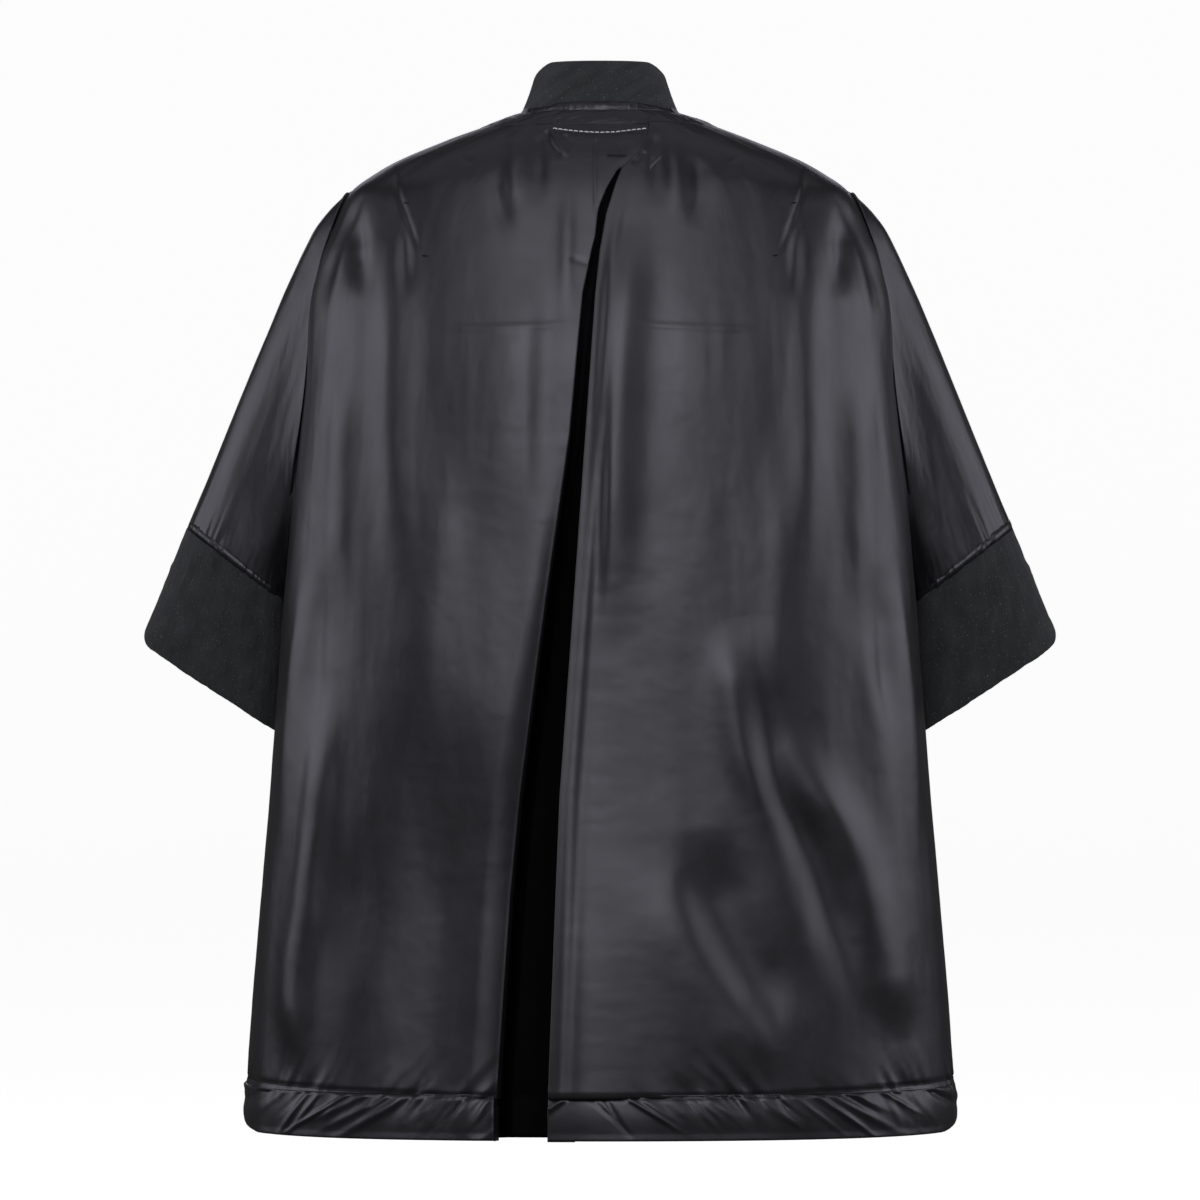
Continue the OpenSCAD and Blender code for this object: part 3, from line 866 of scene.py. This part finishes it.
def make_underlay():
    s = np.linspace(s_of(-0.060), LENGTH - 0.003, 200)
    z = at(s)[0]
    deep = 0.005 + 0.055 * smooth((-z - 0.215) / 0.4)
    left, right = soft_x(z), flap_x(z)
    x_share = [(left - 0.014, .05), (left - 0.006, .10), (left - 0.001, .3), (left + 0.002, .6),
               (left + 0.005, .86), (left + 0.010, .97), (lerp(left, right, .6), 1.0),
               (right + 0.012, .97), (right + 0.018, .8), (right + 0.022, .45),
               (right + 0.030, .16), (right + 0.042, .10)]
    x, share = zip(*x_share)
    x = np.stack(x, 1)
    fine = np.linspace(0, len(x_share) - 1, 60)
    x = np.array([np.interp(fine, np.arange(len(x_share)), row) for row in x])
    share = np.interp(fine, np.arange(len(x_share)), share)
    t = back_t(s[:, None], x)
    low = deep[:, None] * share[None, :] + 0.0035 + 0.0085 * smooth((-z - 0.30) / 0.42)[:, None]
    low -= 0.0008 * rough(fine[None, :] / 5, s[:, None] / 0.05, 70)
    across = np.linspace(0, 1, t.shape[1])[None, :]
    left_high = relief(s, back_t(s, soft_x(z) - 0.004), FOLDS_L)[:, None]
    right_high = relief(s, back_t(s, flap_x(z) + 0.004), FOLDS_R)[:, None]
    grid = skin(s[:, None], t, 0.0, lerp(left_high, right_high, smooth(across)) - low)
    # The underlay wears the near-black satin of painted shade, which stands in for the shadow
    # inside the pleat.
    keep(piece("pleat_underlay_satin", grid, PLEAT_SHADE, CLOTH_T), "garment",
         "pleat_satin", "pleat_underlay")


make_underlay()

# ---------------------------------------------------------------- front panels


def folded_under(s):
    r = 0.0011 * np.ones_like(s)
    edge = turn(r, 180, 7)
    for d in np.linspace(0.003, 0.02, 5):
        edge.append((-d * np.ones_like(s), -2 * r))
    return edge


def placket_marks(x_in, x_out):
    """Two rows of topstitching along a front edge, as a groove, given as x."""
    def shape(s, t, run):
        x = body(s, t)[..., 0]
        return -0.0005 * bump(x - x_in, 0.0012) - 0.0004 * bump(x - x_out, 0.0010)
    return shape


def make_front(side):
    if side == "right":
        t0, t1 = front_end(back_s), front_t(back_s, over_x + 0.0011)
        grid = panel_grid(back_s, t0, t1, FRONT, arm_roll(back_s),
                          folded_under(back_s), placket_marks(0.019, over_x + 0.003))
        nodes = ("front_right_panel", "front_flap")
    else:
        t0, t1 = front_t(back_s, under_x), 360 - front_end(back_s)
        grid = panel_grid(back_s, t0, t1, FRONT, folded_under(back_s),
                          arm_roll(back_s), placket_marks(-0.064, under_x - 0.003))
        nodes = ("front_left_panel",)
    return satin(f"front_{side}_satin", grid, None if side == "right" else "garment", *nodes)


front_right = make_front("right")
front_left = make_front("left")
fold_out = np.cross(HINGE_AXIS, (0, 1, 0))
fold_out /= np.linalg.norm(fold_out)

# ---------------------------------------------------------------- hem bands


def hem_grid(t0_of, t1_of, folds, cols, before=None, after=None):
    """A hem band: it bulges below its stitch line, turns under and runs up inside."""
    height = LENGTH - s_hem
    r = 0.0016
    path = [(s_hem + q * (height - r), 0.0012 * math.sin(math.pi * min(q * 1.15, 1)) + 0.0006)
            for q in np.linspace(0, 1, 34)]
    path += [(LENGTH - r + r * math.sin(a), 0.0006 - r * (1 - math.cos(a)))
             for a in np.radians(np.linspace(20, 180, 9))]
    path += [(LENGTH - r - d, 0.0006 - 2 * r) for d in (0.004, 0.010, 0.020, 0.032)]
    s, out = np.array(path).T
    t0, t1 = t0_of(np.minimum(s, LENGTH)), t1_of(np.minimum(s, LENGTH))
    t, run = spread(np.minimum(s, LENGTH), t0, t1, cols)
    rows = s[:, None]
    high = relief(np.minimum(rows, LENGTH), t, folds) + out[:, None]
    x = body(rows, t)[..., 0] / MM
    down = (rows - s_hem) / MM
    high = high + MM * hem_creases(x, down)
    if after is SOFT_ROLL:
        high = high + soft_fall(np.minimum(rows, LENGTH - 0.001), t, run)
    corner = np.clip((rows - LENGTH + 0.012) / 0.012, 0, 1)
    at_side = smooth((np.abs(np.sin(np.radians(t))) - 0.93) / 0.07)
    high = high - 0.011 * (1 - np.sqrt(1 - 0.98 * corner ** 2)) * at_side
    return with_turns(skin(rows, t, 0.0, high), s, t, high, before, after)


def hem_creases(x, down):
    """Slanting creases that the stitching draws into the band."""
    total = np.zeros(x.shape)
    random = np.random.RandomState(5)
    for start in np.arange(-345, 346, 13.0):
        start = start + random.uniform(-6, 6)
        slope = (-1 if start < -20 else 1) * random.uniform(0.5, 1.8)
        long = random.uniform(12, 44)
        high = random.uniform(-1.9, 2.3)
        d = (x - start - slope * down) / math.hypot(1, slope)
        total += high * bump(d, random.uniform(1.8, 4.4)) * smooth(1.4 - down / long) * \
            smooth(down / 3)
    return total


EDGE_FOLD = roll(0.0012, np.linspace(25, 180, 7)) + \
    [(-d, -0.0024) for d in (0.004, 0.012, 0.025)]


def make_hem(name, t0_of, t1_of, folds, cols, body_name, nodes, before=None, after=None):
    return satin(name, hem_grid(t0_of, t1_of, folds, cols, before, after), body_name, *nodes)


def straight(angle):
    return lambda s: angle + 0 * s


SOFT_ROLL = roll(SOFT_R, np.linspace(12, 96, 9))
SOFT_ROLL += [(SOFT_ROLL[-1][0] + 0.1 * d, SOFT_ROLL[-1][1] - d) for d in (0.004, 0.009, 0.015)]


hem_right = make_hem("hem_back_right_satin",
                     lambda s: back_t(s, flap_x(at(s)[0]) + 0.0012), straight(90), FOLDS_R, 250,
                     "garment", ["hem_back_right"], EDGE_FOLD)
hem_left = make_hem("hem_back_left_satin", straight(-90),
                    lambda s: back_t(s, soft_x(at(s)[0]) - 0.005), FOLDS_L, 190,
                    "garment", ["hem_back_left"], None, SOFT_ROLL)
hem_front_l = make_hem("hem_front_left_satin", lambda s: front_t(s, under_x),
                       straight(270), FRONT, 200, "garment", ["hem_front_left"], EDGE_FOLD)
hem_front_r = make_hem("hem_front_right_satin", straight(90),
                       lambda s: front_t(s, over_x + 0.0012), FRONT, 240, None,
                       ["hem_front_right", "hem_front_flap"], None, EDGE_FOLD)
for crossing in (front_right, hem_front_r):
    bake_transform(crossing)


def hem_stitches(name, t0, t1, folds, body_name):
    t = np.linspace(t0, t1, 900)
    z = np.full_like(t, hem_line)
    for _ in range(4):
        s = s_of(z)
        z = MM * stitch_z(body(s, t)[:, 0] / MM)
    obj = sewn(name, s, t, relief(s, t, folds), 0.0007, 0.0030, 0.0010, 0.00028, BLACK)
    return keep(obj, body_name, "black_thread")


hem_z0 = s_of(hem_line)
edge_l = float(back_t(hem_z0, soft_x(hem_line)))
edge_r = float(back_t(hem_z0, flap_x(hem_line) + 0.002))
hem_stitches("hem_stitches_back_left", -89.5, edge_l, FOLDS_L, "garment")
hem_stitches("hem_stitches_back_right", edge_r, 89.5, FOLDS_R, "garment")
hem_stitches("hem_stitches_front_left", float(front_t(hem_z0, under_x - 0.003)), 269.5,
             FRONT, "garment")
front_thread = hem_stitches("hem_stitches_front_right", 90.5,
                            float(front_t(hem_z0, over_x + 0.004)), FRONT, None)
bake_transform(front_thread)

# ---------------------------------------------------------------- sleeves and cuffs

right_sleeve = points_of("right_sleeve")
right_cuff = points_of("right_cuff")
SEAM_OUT = right_sleeve[right_sleeve[:, 0].argmax()][[0, 2]]
SEAM_IN = right_sleeve[right_sleeve[:, 2].argmin()][[0, 2]]
CUFF_OUT = right_cuff[right_cuff[:, 0].argmax()][[0, 2]]
CUFF_IN = right_cuff[right_cuff[:, 2].argmin()][[0, 2]]
near_seam = right_sleeve[right_sleeve[:, 2] < SEAM_IN[1] + 0.12]
SEAM_D = (near_seam[:, 1].max() - near_seam[:, 1].min()) / 2
CUFF_Y = (right_cuff[:, 1].max() + right_cuff[:, 1].min()) / 2
CUFF_D = (right_cuff[:, 1].max() - right_cuff[:, 1].min()) / 2
SHOULDER = np.array([shoulder[0] + 0.0015, ARM_TOP])
UNDER = np.array([float(np.interp(s_of(ARM_LOW), profile_s, profile[:, 1])) + 0.0006, ARM_LOW])


def bezier(a, b, c, d, f):
    f = np.asarray(f)[..., None]
    return a * (1 - f) ** 3 + 3 * b * f * (1 - f) ** 2 + 3 * c * f ** 2 * (1 - f) + d * f ** 3


def side_x(y, z):
    half, back, front = (np.interp(-z, -profile[:, 0], profile[:, k]) for k in (1, 2, 3))
    depth = np.where(y < 0, back, front)
    return half * (1 - np.clip(np.abs(y) / depth, 0, 0.99) ** POWER) ** (1 / POWER)


def oval(top, low, forward, depth, a, inset):
    mid, reach = (top + low) / 2, (top - low) / 2
    shrink = 1 - inset / np.linalg.norm(reach, axis=-1)
    c, n = np.cos(a), np.sin(a)
    x = mid[..., 0] + reach[..., 0] * shrink * c
    z = mid[..., 1] + reach[..., 1] * shrink * c
    flat = np.sign(n) * np.abs(n) ** 0.56
    return np.stack([x, forward + (depth - inset) * flat, z], -1)


def sleeve_spot(share, a, inset=0.0):
    """A point of the wearer's right sleeve: a is 0 at its outer edge and 180 at the underarm."""
    share, a = np.broadcast_arrays(np.asarray(share, float), np.radians(a))
    top = bezier(SHOULDER, SHOULDER + (0.038, -0.020), SHOULDER + (0.068, -0.110), SEAM_OUT, share)
    low = UNDER + (SEAM_IN - UNDER) * share[..., None]
    reach0 = np.where(np.sin(a) < 0, ARM_BACK, ARM_FRONT)
    depth = lerp(reach0, SEAM_D, share)
    tube = oval(top, low, 0.84 * CUFF_Y * share, depth, a, inset)
    y0 = (reach0 - inset) * np.sin(a)
    z0 = ARM_Z + (ARM_H - inset) * np.cos(a)
    mouth = np.stack([side_x(y0, z0) + 0.0006, y0, z0], -1)
    return lerp(mouth, tube, smooth(share / 0.3)[..., None])


SLEEVE_FOLDS = [
    ([(300, -150), (330, -240), (372, -340), (402, -402)], 1.6, 16, 24, .3, .3),
    ([(298, -200), (318, -300), (345, -390), (372, -440)], -1.5, 14, 16, .3, .3),
    ([(302, -300), (312, -370), (330, -440), (345, -468)], 1.4, 10, 13, .3, .3),
    ([(282, -110), (303, -170), (326, -232)], -1.2, 7, 7, .3, .4),
    ([(306, -400), (316, -440), (324, -474)], -1.4, 8, 8, .3, .3),
]


def sleeve_relief(p, share, a, seed):
    """Height of the sleeve's folds; the back and the front have the same ones."""
    x, z = p[..., 0] / MM, p[..., 2] / MM
    calm = smooth(share / 0.12) * smooth((1 - share) / 0.02 + 0.2)
    flat = np.abs(np.sin(np.radians(a)))
    high = fold_height(x, z, SLEEVE_FOLDS) * flat
    run = np.radians(a) * 100
    high += 0.6 * rough(run / 48, share * 3, seed) + 0.08 * rough(run / 16, share * 9, seed + 3)
    high += 0.05 * rough(run / 5, share * 60, seed + 6)
    gather = rough(run / 5.5, share * 12, seed + 9)
    high += 0.7 * gather * np.exp(-(1 - share) * 18)
    return high * calm * MM


def sided(grid, side):
    """The grid as it is on the wearer's right, and mirrored on the left."""
    if side == "right":
        return grid
    flipped = grid * (-1, 1, 1)
    return flipped[:, ::-1]


def tube_steps(tube):
    """The steps down and round a tube whose last column is followed by its first."""
    closed = np.concatenate([tube[:, -1:], tube, tube[:, :1]], 1)
    return [np.gradient(closed, axis=axis)[:, 1:-1] for axis in (0, 1)]


def outward(tube):
    return unit(np.cross(*tube_steps(tube)))


def sleeve_grid(seed):
    share = np.concatenate([[0, 0.01, 0.02], np.linspace(0.03, 1.0, 130)])
    a = np.linspace(0, 360, 260, endpoint=False)
    rows, cols = share[:, None], a[None, :]
    base = sleeve_spot(rows, cols)
    tuck = -0.0036 * (1 - smooth(rows / 0.022))
    high = sleeve_relief(base, rows, cols, seed) + tuck
    return base + outward(base) * high[..., None]


def cuff_spot(f, a, inset=0.0):
    f, a = np.broadcast_arrays(np.asarray(f, float), np.radians(a))
    top = SEAM_OUT + (CUFF_OUT - SEAM_OUT) * f[..., None]
    low = SEAM_IN + (CUFF_IN - SEAM_IN) * f[..., None]
    return oval(top, low, lerp(0.84 * CUFF_Y, CUFF_Y, f), lerp(SEAM_D, CUFF_D, f), a, inset)


KNIT_T = 0.0032


def cuff_grid(seed):
    """Down the outside, round the edge and up the inside, with a softly rounded outer corner."""
    long = np.linalg.norm(CUFF_OUT - SEAM_OUT)
    r = KNIT_T / 2
    rows = [(f, 0.0) for f in np.linspace(0.004, 1 - r / long, 60)]
    rows += [(1 - r / long + r / long * math.sin(b), r * (1 - math.cos(b)))
             for b in np.radians(np.linspace(15, 165, 9))]
    rows += [(f, KNIT_T) for f in np.linspace(1 - r / long, 0.004, 14)]
    f, inset = np.array(rows).T[..., None]
    a = np.linspace(0, 360, 300, endpoint=False)[None, :]
    end = np.clip(1 - (1 - f) * long / 0.014, 0, 1)
    corner = 0.009 * (1 - np.sqrt(1 - end ** 2)) * smooth((np.cos(np.radians(a)) - .80) / .2)
    inset = inset + corner + 0 * a
    base = cuff_spot(f + 0 * a, a + 0 * f, inset)
    around = np.radians(a) * 100 + 0 * f
    sign = np.where(np.arange(len(rows)) < 64, 1, -1)[:, None]
    high = 0.9 * rough(around / 45, f * 2.2, seed) + 0.25 * rough(around / 12, f * 8, seed + 3)
    high = high + 0.7 * bump((f - 0.42 - 0.1 * np.sin(around / 60)), 0.03)
    high = high + 0.09 * np.sin(around * 2 * math.pi / 2.6)
    return base + outward(base) * (high * sign * MM)[..., None]


SEAM_SHARE = 0.99   # how far down the sleeve its seam with the cuff is measured


def seam_grid(seed):
    """The rolled seam allowance where sleeve and cuff meet."""
    a = np.linspace(0, 360, 420, endpoint=False)[None, :]
    b = np.radians(np.linspace(-20, 200, 16))[:, None]
    around = np.radians(a) * 100
    fat = 1 + 0.12 * rough(around / 6, 0 * a, seed) + 0.2 * rough(around / 17, 0 * a, seed + 2)
    length = np.linalg.norm(SEAM_OUT - SHOULDER)
    share = 0.996 - (0.0042 * fat / length) * (np.cos(b + 0 * a) + 0.1)
    flat = 0.35 + 0.65 * smooth(np.abs(np.sin(np.radians(a + 0 * b))) / 0.5)
    lift = 0.0022 * fat * flat * np.sin(b + 0 * a) - 0.0006
    ring = sleeve_spot(SEAM_SHARE, a + 0 * b)
    along = unit(ring - sleeve_spot(SEAM_SHARE - 0.02, a + 0 * b))
    out = unit(np.cross(along, tube_steps(ring)[1]))
    shift = (share - SEAM_SHARE)[..., None] * length * along
    return ring + shift + out * lift[..., None]


def make_sleeve(side, seed):
    body_name = f"{side}_sleeve"
    grid = sided(sleeve_grid(seed), side)
    sleeve = satin(f"{side}_sleeve_satin", grid, None, f"{side}_sleeve", around=True)
    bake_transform(sleeve)
    grid = sided(cuff_grid(seed + 20), side)
    cuff = piece(f"{side}_cuff_knit", grid, KNIT, around=True, close_ends=True)
    keep(cuff, body_name, "knit", f"{side}_cuff")
    grid = sided(seam_grid(seed + 40), side)
    satin(f"{side}_cuff_seam_satin", grid, body_name, f"{side}_cuff_seam", around=True)
    return sleeve


sleeves = {side: make_sleeve(side, seed) for side, seed in (("left", 31), ("right", 57))}

# ---------------------------------------------------------------- collar, band, label and loop

COLLAR_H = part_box("collar_rib")[1][2]
rib = points_of("collar_rib")
rib_top = rib[rib[:, 2] > COLLAR_H - 0.001]
TOP_W, TOP_BACK, TOP_FRONT = rib_top[:, 0].max(), -rib_top[:, 1].min(), rib_top[:, 1].max()


def collar_grid():
    half, knit = COLLAR_H, 0.0034
    r = knit / 2
    rows = [(h, knit) for h in np.linspace(0.001, half - r, 14)]
    rows += [(half - r + r * math.sin(b), r + r * math.cos(b))
             for b in np.radians(np.linspace(15, 165, 9))]
    rows += [(h, 0.0) for h in np.linspace(half - r, 0.001, 36)]
    h, inset = np.array(rows).T[..., None]
    slit = float(front_t(0.0, over_x))
    t = np.linspace(slit - 360 + 1.6, slit, 640)[None, :]
    turned = np.abs(power(np.sin(np.radians(t))))
    corner = np.clip(1 - (1 - turned) * TOP_W / 0.011, 0, 0.97)
    h = h - 0.011 * (1 - np.sqrt(1 - corner ** 2)) * np.maximum(h, 0) / half
    h = h - 0.002 * (1 - h / half)
    f = np.maximum(h, 0) / half
    c, n = np.cos(np.radians(t)), np.sin(np.radians(t))
    w = lerp(NECK_HALF, TOP_W, f ** 0.75) - 0.004 * smooth((f - .7) / .3)
    depth = np.where(c > 0, lerp(NECK_BACK, TOP_BACK, f), lerp(NECK_BACK, TOP_FRONT, f))
    around = np.radians(t) * 80
    sign = np.where(np.arange(len(rows)) < 18, -1, 1)[:, None]
    wave = 0.35 * rough(around / 26, h * 40, 81) + 0.12 * rough(around / 7, h * 200, 84)
    wave = wave - 0.5 * bump(h / MM - 1.5, 2.2) + 0.10 * np.sin(around * 2 * math.pi / 2.1)
    move = inset - wave * sign * MM
    return np.stack([(w - move) * power(n), -(depth - move) * power(c),
                     h - FRONT_DROP * np.maximum(0, -c) ** 1.5], -1)


rows0 = read_profile()
NECK_HALF, NECK_BACK, FRONT_DROP = rows0[0, 1], rows0[0, 2], rows0[0, 4]
keep(piece("collar_knit", collar_grid(), KNIT, close_ends=True),
     "garment", "knit", "collar_rib")


def make_band():
    """The satin band between the collar and the panels, gathered a little along both seams."""
    s = np.linspace(0.0003, s_of(seam_line) + 0.002, 40)
    slit = float(front_t(0.0, over_x))
    t = np.linspace(slit - 360 + 1.8, slit, 620)[None, :]
    rows = s[:, None]
    f = (rows - s[0]) / (s[-1] - s[0])
    around = np.radians(t) * 100
    high = 1.0 * np.sin(math.pi * f) + 0.55 * rough(around / 12 + 2 * f, f * 1.6, 90)
    high = high + 0.25 * rough(around / 4, f * 1.2, 93) + 0.3
    grid = skin(rows, t, 0.0, high * MM)
    x = grid[0, :, 0]
    lens = 0.0045 * smooth(1.6 * (1 - np.abs(x) / (0.86 * NECK_HALF))) * (grid[0, :, 1] < 0)
    rise = []
    for share in (1.0, 0.75, 0.5, 0.25):
        row = grid[0] + 0
        row[:, 2] += lens * share
        lean = (NECK_BACK - TOP_BACK) / COLLAR_H - 0.25 * rough(x / 0.009, share * 1.5 + 0 * x, 96)
        row[:, 1] += lens * share * lean - 0.0006 * (lens > 0)
        rise.append(row)
    under = grid[:1] + 0
    under[0, :, 2] += 0.004 + lens
    under[..., :2] *= 0.965
    grid = np.concatenate([under, rise, grid])
    satin("neck_band_satin", grid, "garment", "neck_band")


make_band()


def lining_relief(s, t, seed):
    around = 150 * np.radians(t)
    return (0.9 * rough(around / 30, s / 0.05, seed) + 0.3 * rough(around / 9, s / 0.02,
                                                                 seed + 3)) * MM


def inner_piece(name, s, t0, t1, cols, inset, material, slot_name, node, seed,
                thick=0.0006, calm=1.0):
    t, _ = spread(s, t0, t1, cols)
    high = lining_relief(s[:, None], t, seed) * calm - inset
    grid = skin(s[:, None], t, 0.0, high)
    keep(piece(name, grid, material, thick), "garment", slot_name, node)


yoke_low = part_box("yoke_lining")[0][2]
yoke_s = np.linspace(s_of(seam_line) - 0.001, s_of(yoke_low), 110)
yoke_side = np.minimum(58, back_end(yoke_s) - 6)
inner_piece("yoke_lining_cloth", yoke_s, -yoke_side, yoke_side, 200, 0.0125, LINING,
            "lining", "yoke_lining", 61)

label_low, label_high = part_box("label_patch")
label_s = np.linspace(s_of(label_high[2]), s_of(label_low[2]), 40)
inner_piece("label_cloth", label_s, back_t(label_s, label_low[0]),
            back_t(label_s, label_high[0]), 80, 0.0152, LABEL, "label", "label_patch", 65,
            0.0007, 0.12)


def white_line():
    low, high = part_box("label_stitches")
    x = np.linspace(low[0], high[0], 240)
    dip = (high[2] - low[2]) * 0.78
    z = high[2] - 0.0006 - dip * np.cos(math.pi * x / (high[0] - low[0]))
    s = s_of(z)
    t = back_t(s, x)
    raised = np.where(x < flap_x(z), relief(s, t, FOLDS_L), relief(s, t, FOLDS_R))
    obj = sewn("label_stitch_thread", s, t, raised, 0.0022, 0.0044, 0.0008, 0.00062, WHITE)
    keep(obj, "garment", "white_thread", "label_stitches")


white_line()


def make_loop():
    """A flat ribbon hanging from the back of the neck seam in a rounded U."""
    low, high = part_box("hanger_loop")
    y, wide = (low[1] + high[1]) / 2, 0.008
    x_out, z_top, z_low = high[0] - wide / 2, high[2] - 0.001, low[2] + wide / 2
    bend = 0.007
    path = [(-x_out, z_top)]
    path += [(-x_out + bend - bend * math.cos(b), z_low + bend - bend * math.sin(b))
             for b in np.radians(np.linspace(0, 90, 14))]
    path += [(x_out - bend + bend * math.sin(b), z_low + bend - bend * math.cos(b))
             for b in np.radians(np.linspace(0, 90, 14))]
    path += [(x_out, z_top)]
    path = np.array(path)
    run = run_along(path)
    q = np.linspace(0, run[-1], 120)
    path = np.stack([np.interp(q, run, path[:, k]) for k in (0, 1)], 1)
    along = unit(np.gradient(path, axis=0))
    side = np.stack([along[:, 1], -along[:, 0]], 1)
    ring = np.radians(np.arange(0, 360, 15))
    across = np.sign(np.cos(ring)) * np.abs(np.cos(ring)) ** 0.5 * (wide / 2 - 0.0002)
    thick = np.sign(np.sin(ring)) * np.abs(np.sin(ring)) ** 0.7 * 0.0006
    sag = 0.0006 * np.sin(q / run[-1] * 9)
    grid = np.stack([path[:, :1] + side[:, :1] * across,
                     y + thick[None, :] + sag[:, None] * np.ones_like(across),
                     path[:, 1:] + side[:, 1:] * across], -1)
    keep(piece("hanger_loop_ribbon", grid, LINING, around=True),
         "hanger_loop", "lining", "hanger_loop")


make_loop()

# ---------------------------------------------------------------- plackets


def strip(name, top, low, x0, x1, inset_of, body_name, node, seed):
    s = np.linspace(s_of(top), s_of(low), 220)
    x = np.linspace(x0, x1, 24)[None, :] + 0 * s[:, None]
    t = front_t(s[:, None], x)
    high = 0.15 * lining_relief(s[:, None], t, seed) - inset_of(x)
    edge = np.minimum(np.abs(x - x0), np.abs(x - x1))
    high = high - 0.0004 * bump(edge - 0.003, 0.0008)
    grid = skin(s[:, None], t, 0.0, high)
    keep(piece(name, grid, LINING, 0.0013), body_name, "lining", node)


left_low, left_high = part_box("left_placket")
upper_low, upper_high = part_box("right_placket_upper")
lower_low, lower_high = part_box("right_placket")
PLACKET_DEPTH = 0.0034      # of the strips below the panels' outer face
FLAP_TOP = -0.350           # where the part of the right placket that opens begins


def left_depth(x):
    """The left strip steps down beneath the right front's edge."""
    return lerp(0.0078, PLACKET_DEPTH, smooth((-0.020 - x) / 0.010))


def right_depth(x):
    return PLACKET_DEPTH + 0 * x


strip("left_placket_strip", seam_line, left_low[2] + 0.002, left_high[0], left_low[0],
      left_depth, "garment", "left_placket", 71)
strip("right_placket_upper_strip", seam_line, upper_low[2] + 0.002, upper_high[0],
      upper_low[0], right_depth, "garment", "right_placket_upper", 73)
strip("right_placket_strip", FLAP_TOP, lower_low[2] + 0.002, lower_high[0], lower_low[0],
      right_depth, "front_flap", "right_placket", 75)

# ---------------------------------------------------------------- studs and bars


def dressed(node, material):
    """A CAD piece shown as it is, in a better finish."""
    obj = frame["nodes"][node]
    obj.data.materials.clear()
    obj.data.materials.append(material)
    obj.data.polygons.foreach_set("use_smooth", np.ones(len(obj.data.polygons), bool))
    obj.data.set_sharp_from_angle(angle=math.radians(35))


for node in ("upper_snap_caps", "upper_snap_sockets", "snap_caps", "snap_sockets", "snap_studs",
             "snap_posts"):
    dressed(node, STEEL)
dressed("snap_springs", SPRING)


PLEAT_LEFT, PLEAT_RIGHT = 0.007, 0.026   # the ends of the bar at the pleat's head


def make_bars():
    """Short dense rows of thread at the pleat's head and at the darts."""
    ends = [(PLEAT_LEFT, PLEAT_RIGHT, -0.0478)]
    ends += [(sign * x - 0.0025, sign * x + 0.0025, z) for x, z in
             ((0.172, -0.147), (0.191, -0.094)) for sign in (-1, 1)]
    bars = []
    for k, (x0, x1, z) in enumerate(ends):
        x = np.linspace(x0, x1, 20)
        s = s_of(z + 0 * x)
        t = back_t(s, x)
        folds = FOLDS_L if x0 < PLEAT_LEFT else FOLDS_R
        bars.append(sewn(f"bartack_{k}", s, t, relief(s, t, folds), 0.0012,
                         0.0016, 0.0003, 0.0006, BLACK))
    keep(bars[0], "garment", "black_thread", "bartacks")
    for bar in bars[1:]:
        keep(bar, "garment", "black_thread")


make_bars()

# ---------------------------------------------------------------- stage and light


def pale_wall():
    material, _, bsdf = shader("backdrop")
    settle(bsdf, Base_Color=(.6, .6, .6, 1), Roughness=1.0, Specular_IOR_Level=0.0,
           Emission_Color=(1, 1, 1, 1), Emission_Strength=.93)
    return material


STAGE_R = 20.0      # the wall's distance, beyond every camera
STAGE_TOP = 14.0


def make_stage():
    """A pale round floor that sweeps up all round into a far pale wall."""
    floor_z = float(cad_low[2]) - 0.45
    sweep_r = 4.0
    path = [(r, floor_z) for r in (0.0001, 1.0, 4.0, 9.0, STAGE_R - sweep_r)]
    path += [(STAGE_R - sweep_r + sweep_r * math.sin(b),
              floor_z + sweep_r - sweep_r * math.cos(b))
             for b in np.radians(np.linspace(8, 90, 12))]
    path += [(STAGE_R, STAGE_TOP)]
    round_ = np.radians(np.arange(0, 360, 3))
    grid = np.array([[(r * math.cos(b), r * math.sin(b), z) for b in round_] for r, z in path])
    sweep = piece("backdrop", grid, pale_wall(), around=True)
    sweep.visible_glossy = False
    sweep.visible_diffuse = False
    sweep.visible_shadow = False
    sweep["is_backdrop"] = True


make_stage()
world = bpy.data.worlds.new("studio")
scene.world = world
world.use_nodes = True
settle(world.node_tree.nodes["Background"], Color=(1, 1, 1, 1), Strength=0.05)
scene.view_settings.view_transform = "Standard"

heart = (0, -0.1, -0.40)
cool = (0.89, 0.865, 1.0)
# Name, place, size and power. The gaps between the lights are what makes the folds' dark sides.
for name, place, size, watts in (
        ("key", (0, -4.9, 0.82), (3.5, 1.85), 76),
        ("side_left", (-4.5, -1.6, 0.6), (4.0, 2.4), 62),
        ("side_right", (4.5, -1.6, 0.6), (4.0, 2.4), 62),
        ("rim_left", (-4.6, 1.13, 0.6), (1.9, 2.4), 23),
        ("rim_right", (4.6, 1.13, 0.6), (1.9, 2.4), 23),
        ("top", (0, -2.9, 2.5), (3.8, 2.6), 29),
        ("overhead", (0, 0.2, 3.0), (5.0, 2.4), 13),
        ("front", (0, 4.9, 1.0), (3.5, 2.4), 30)):
    area_light(name, place, heart, size, watts, cool)
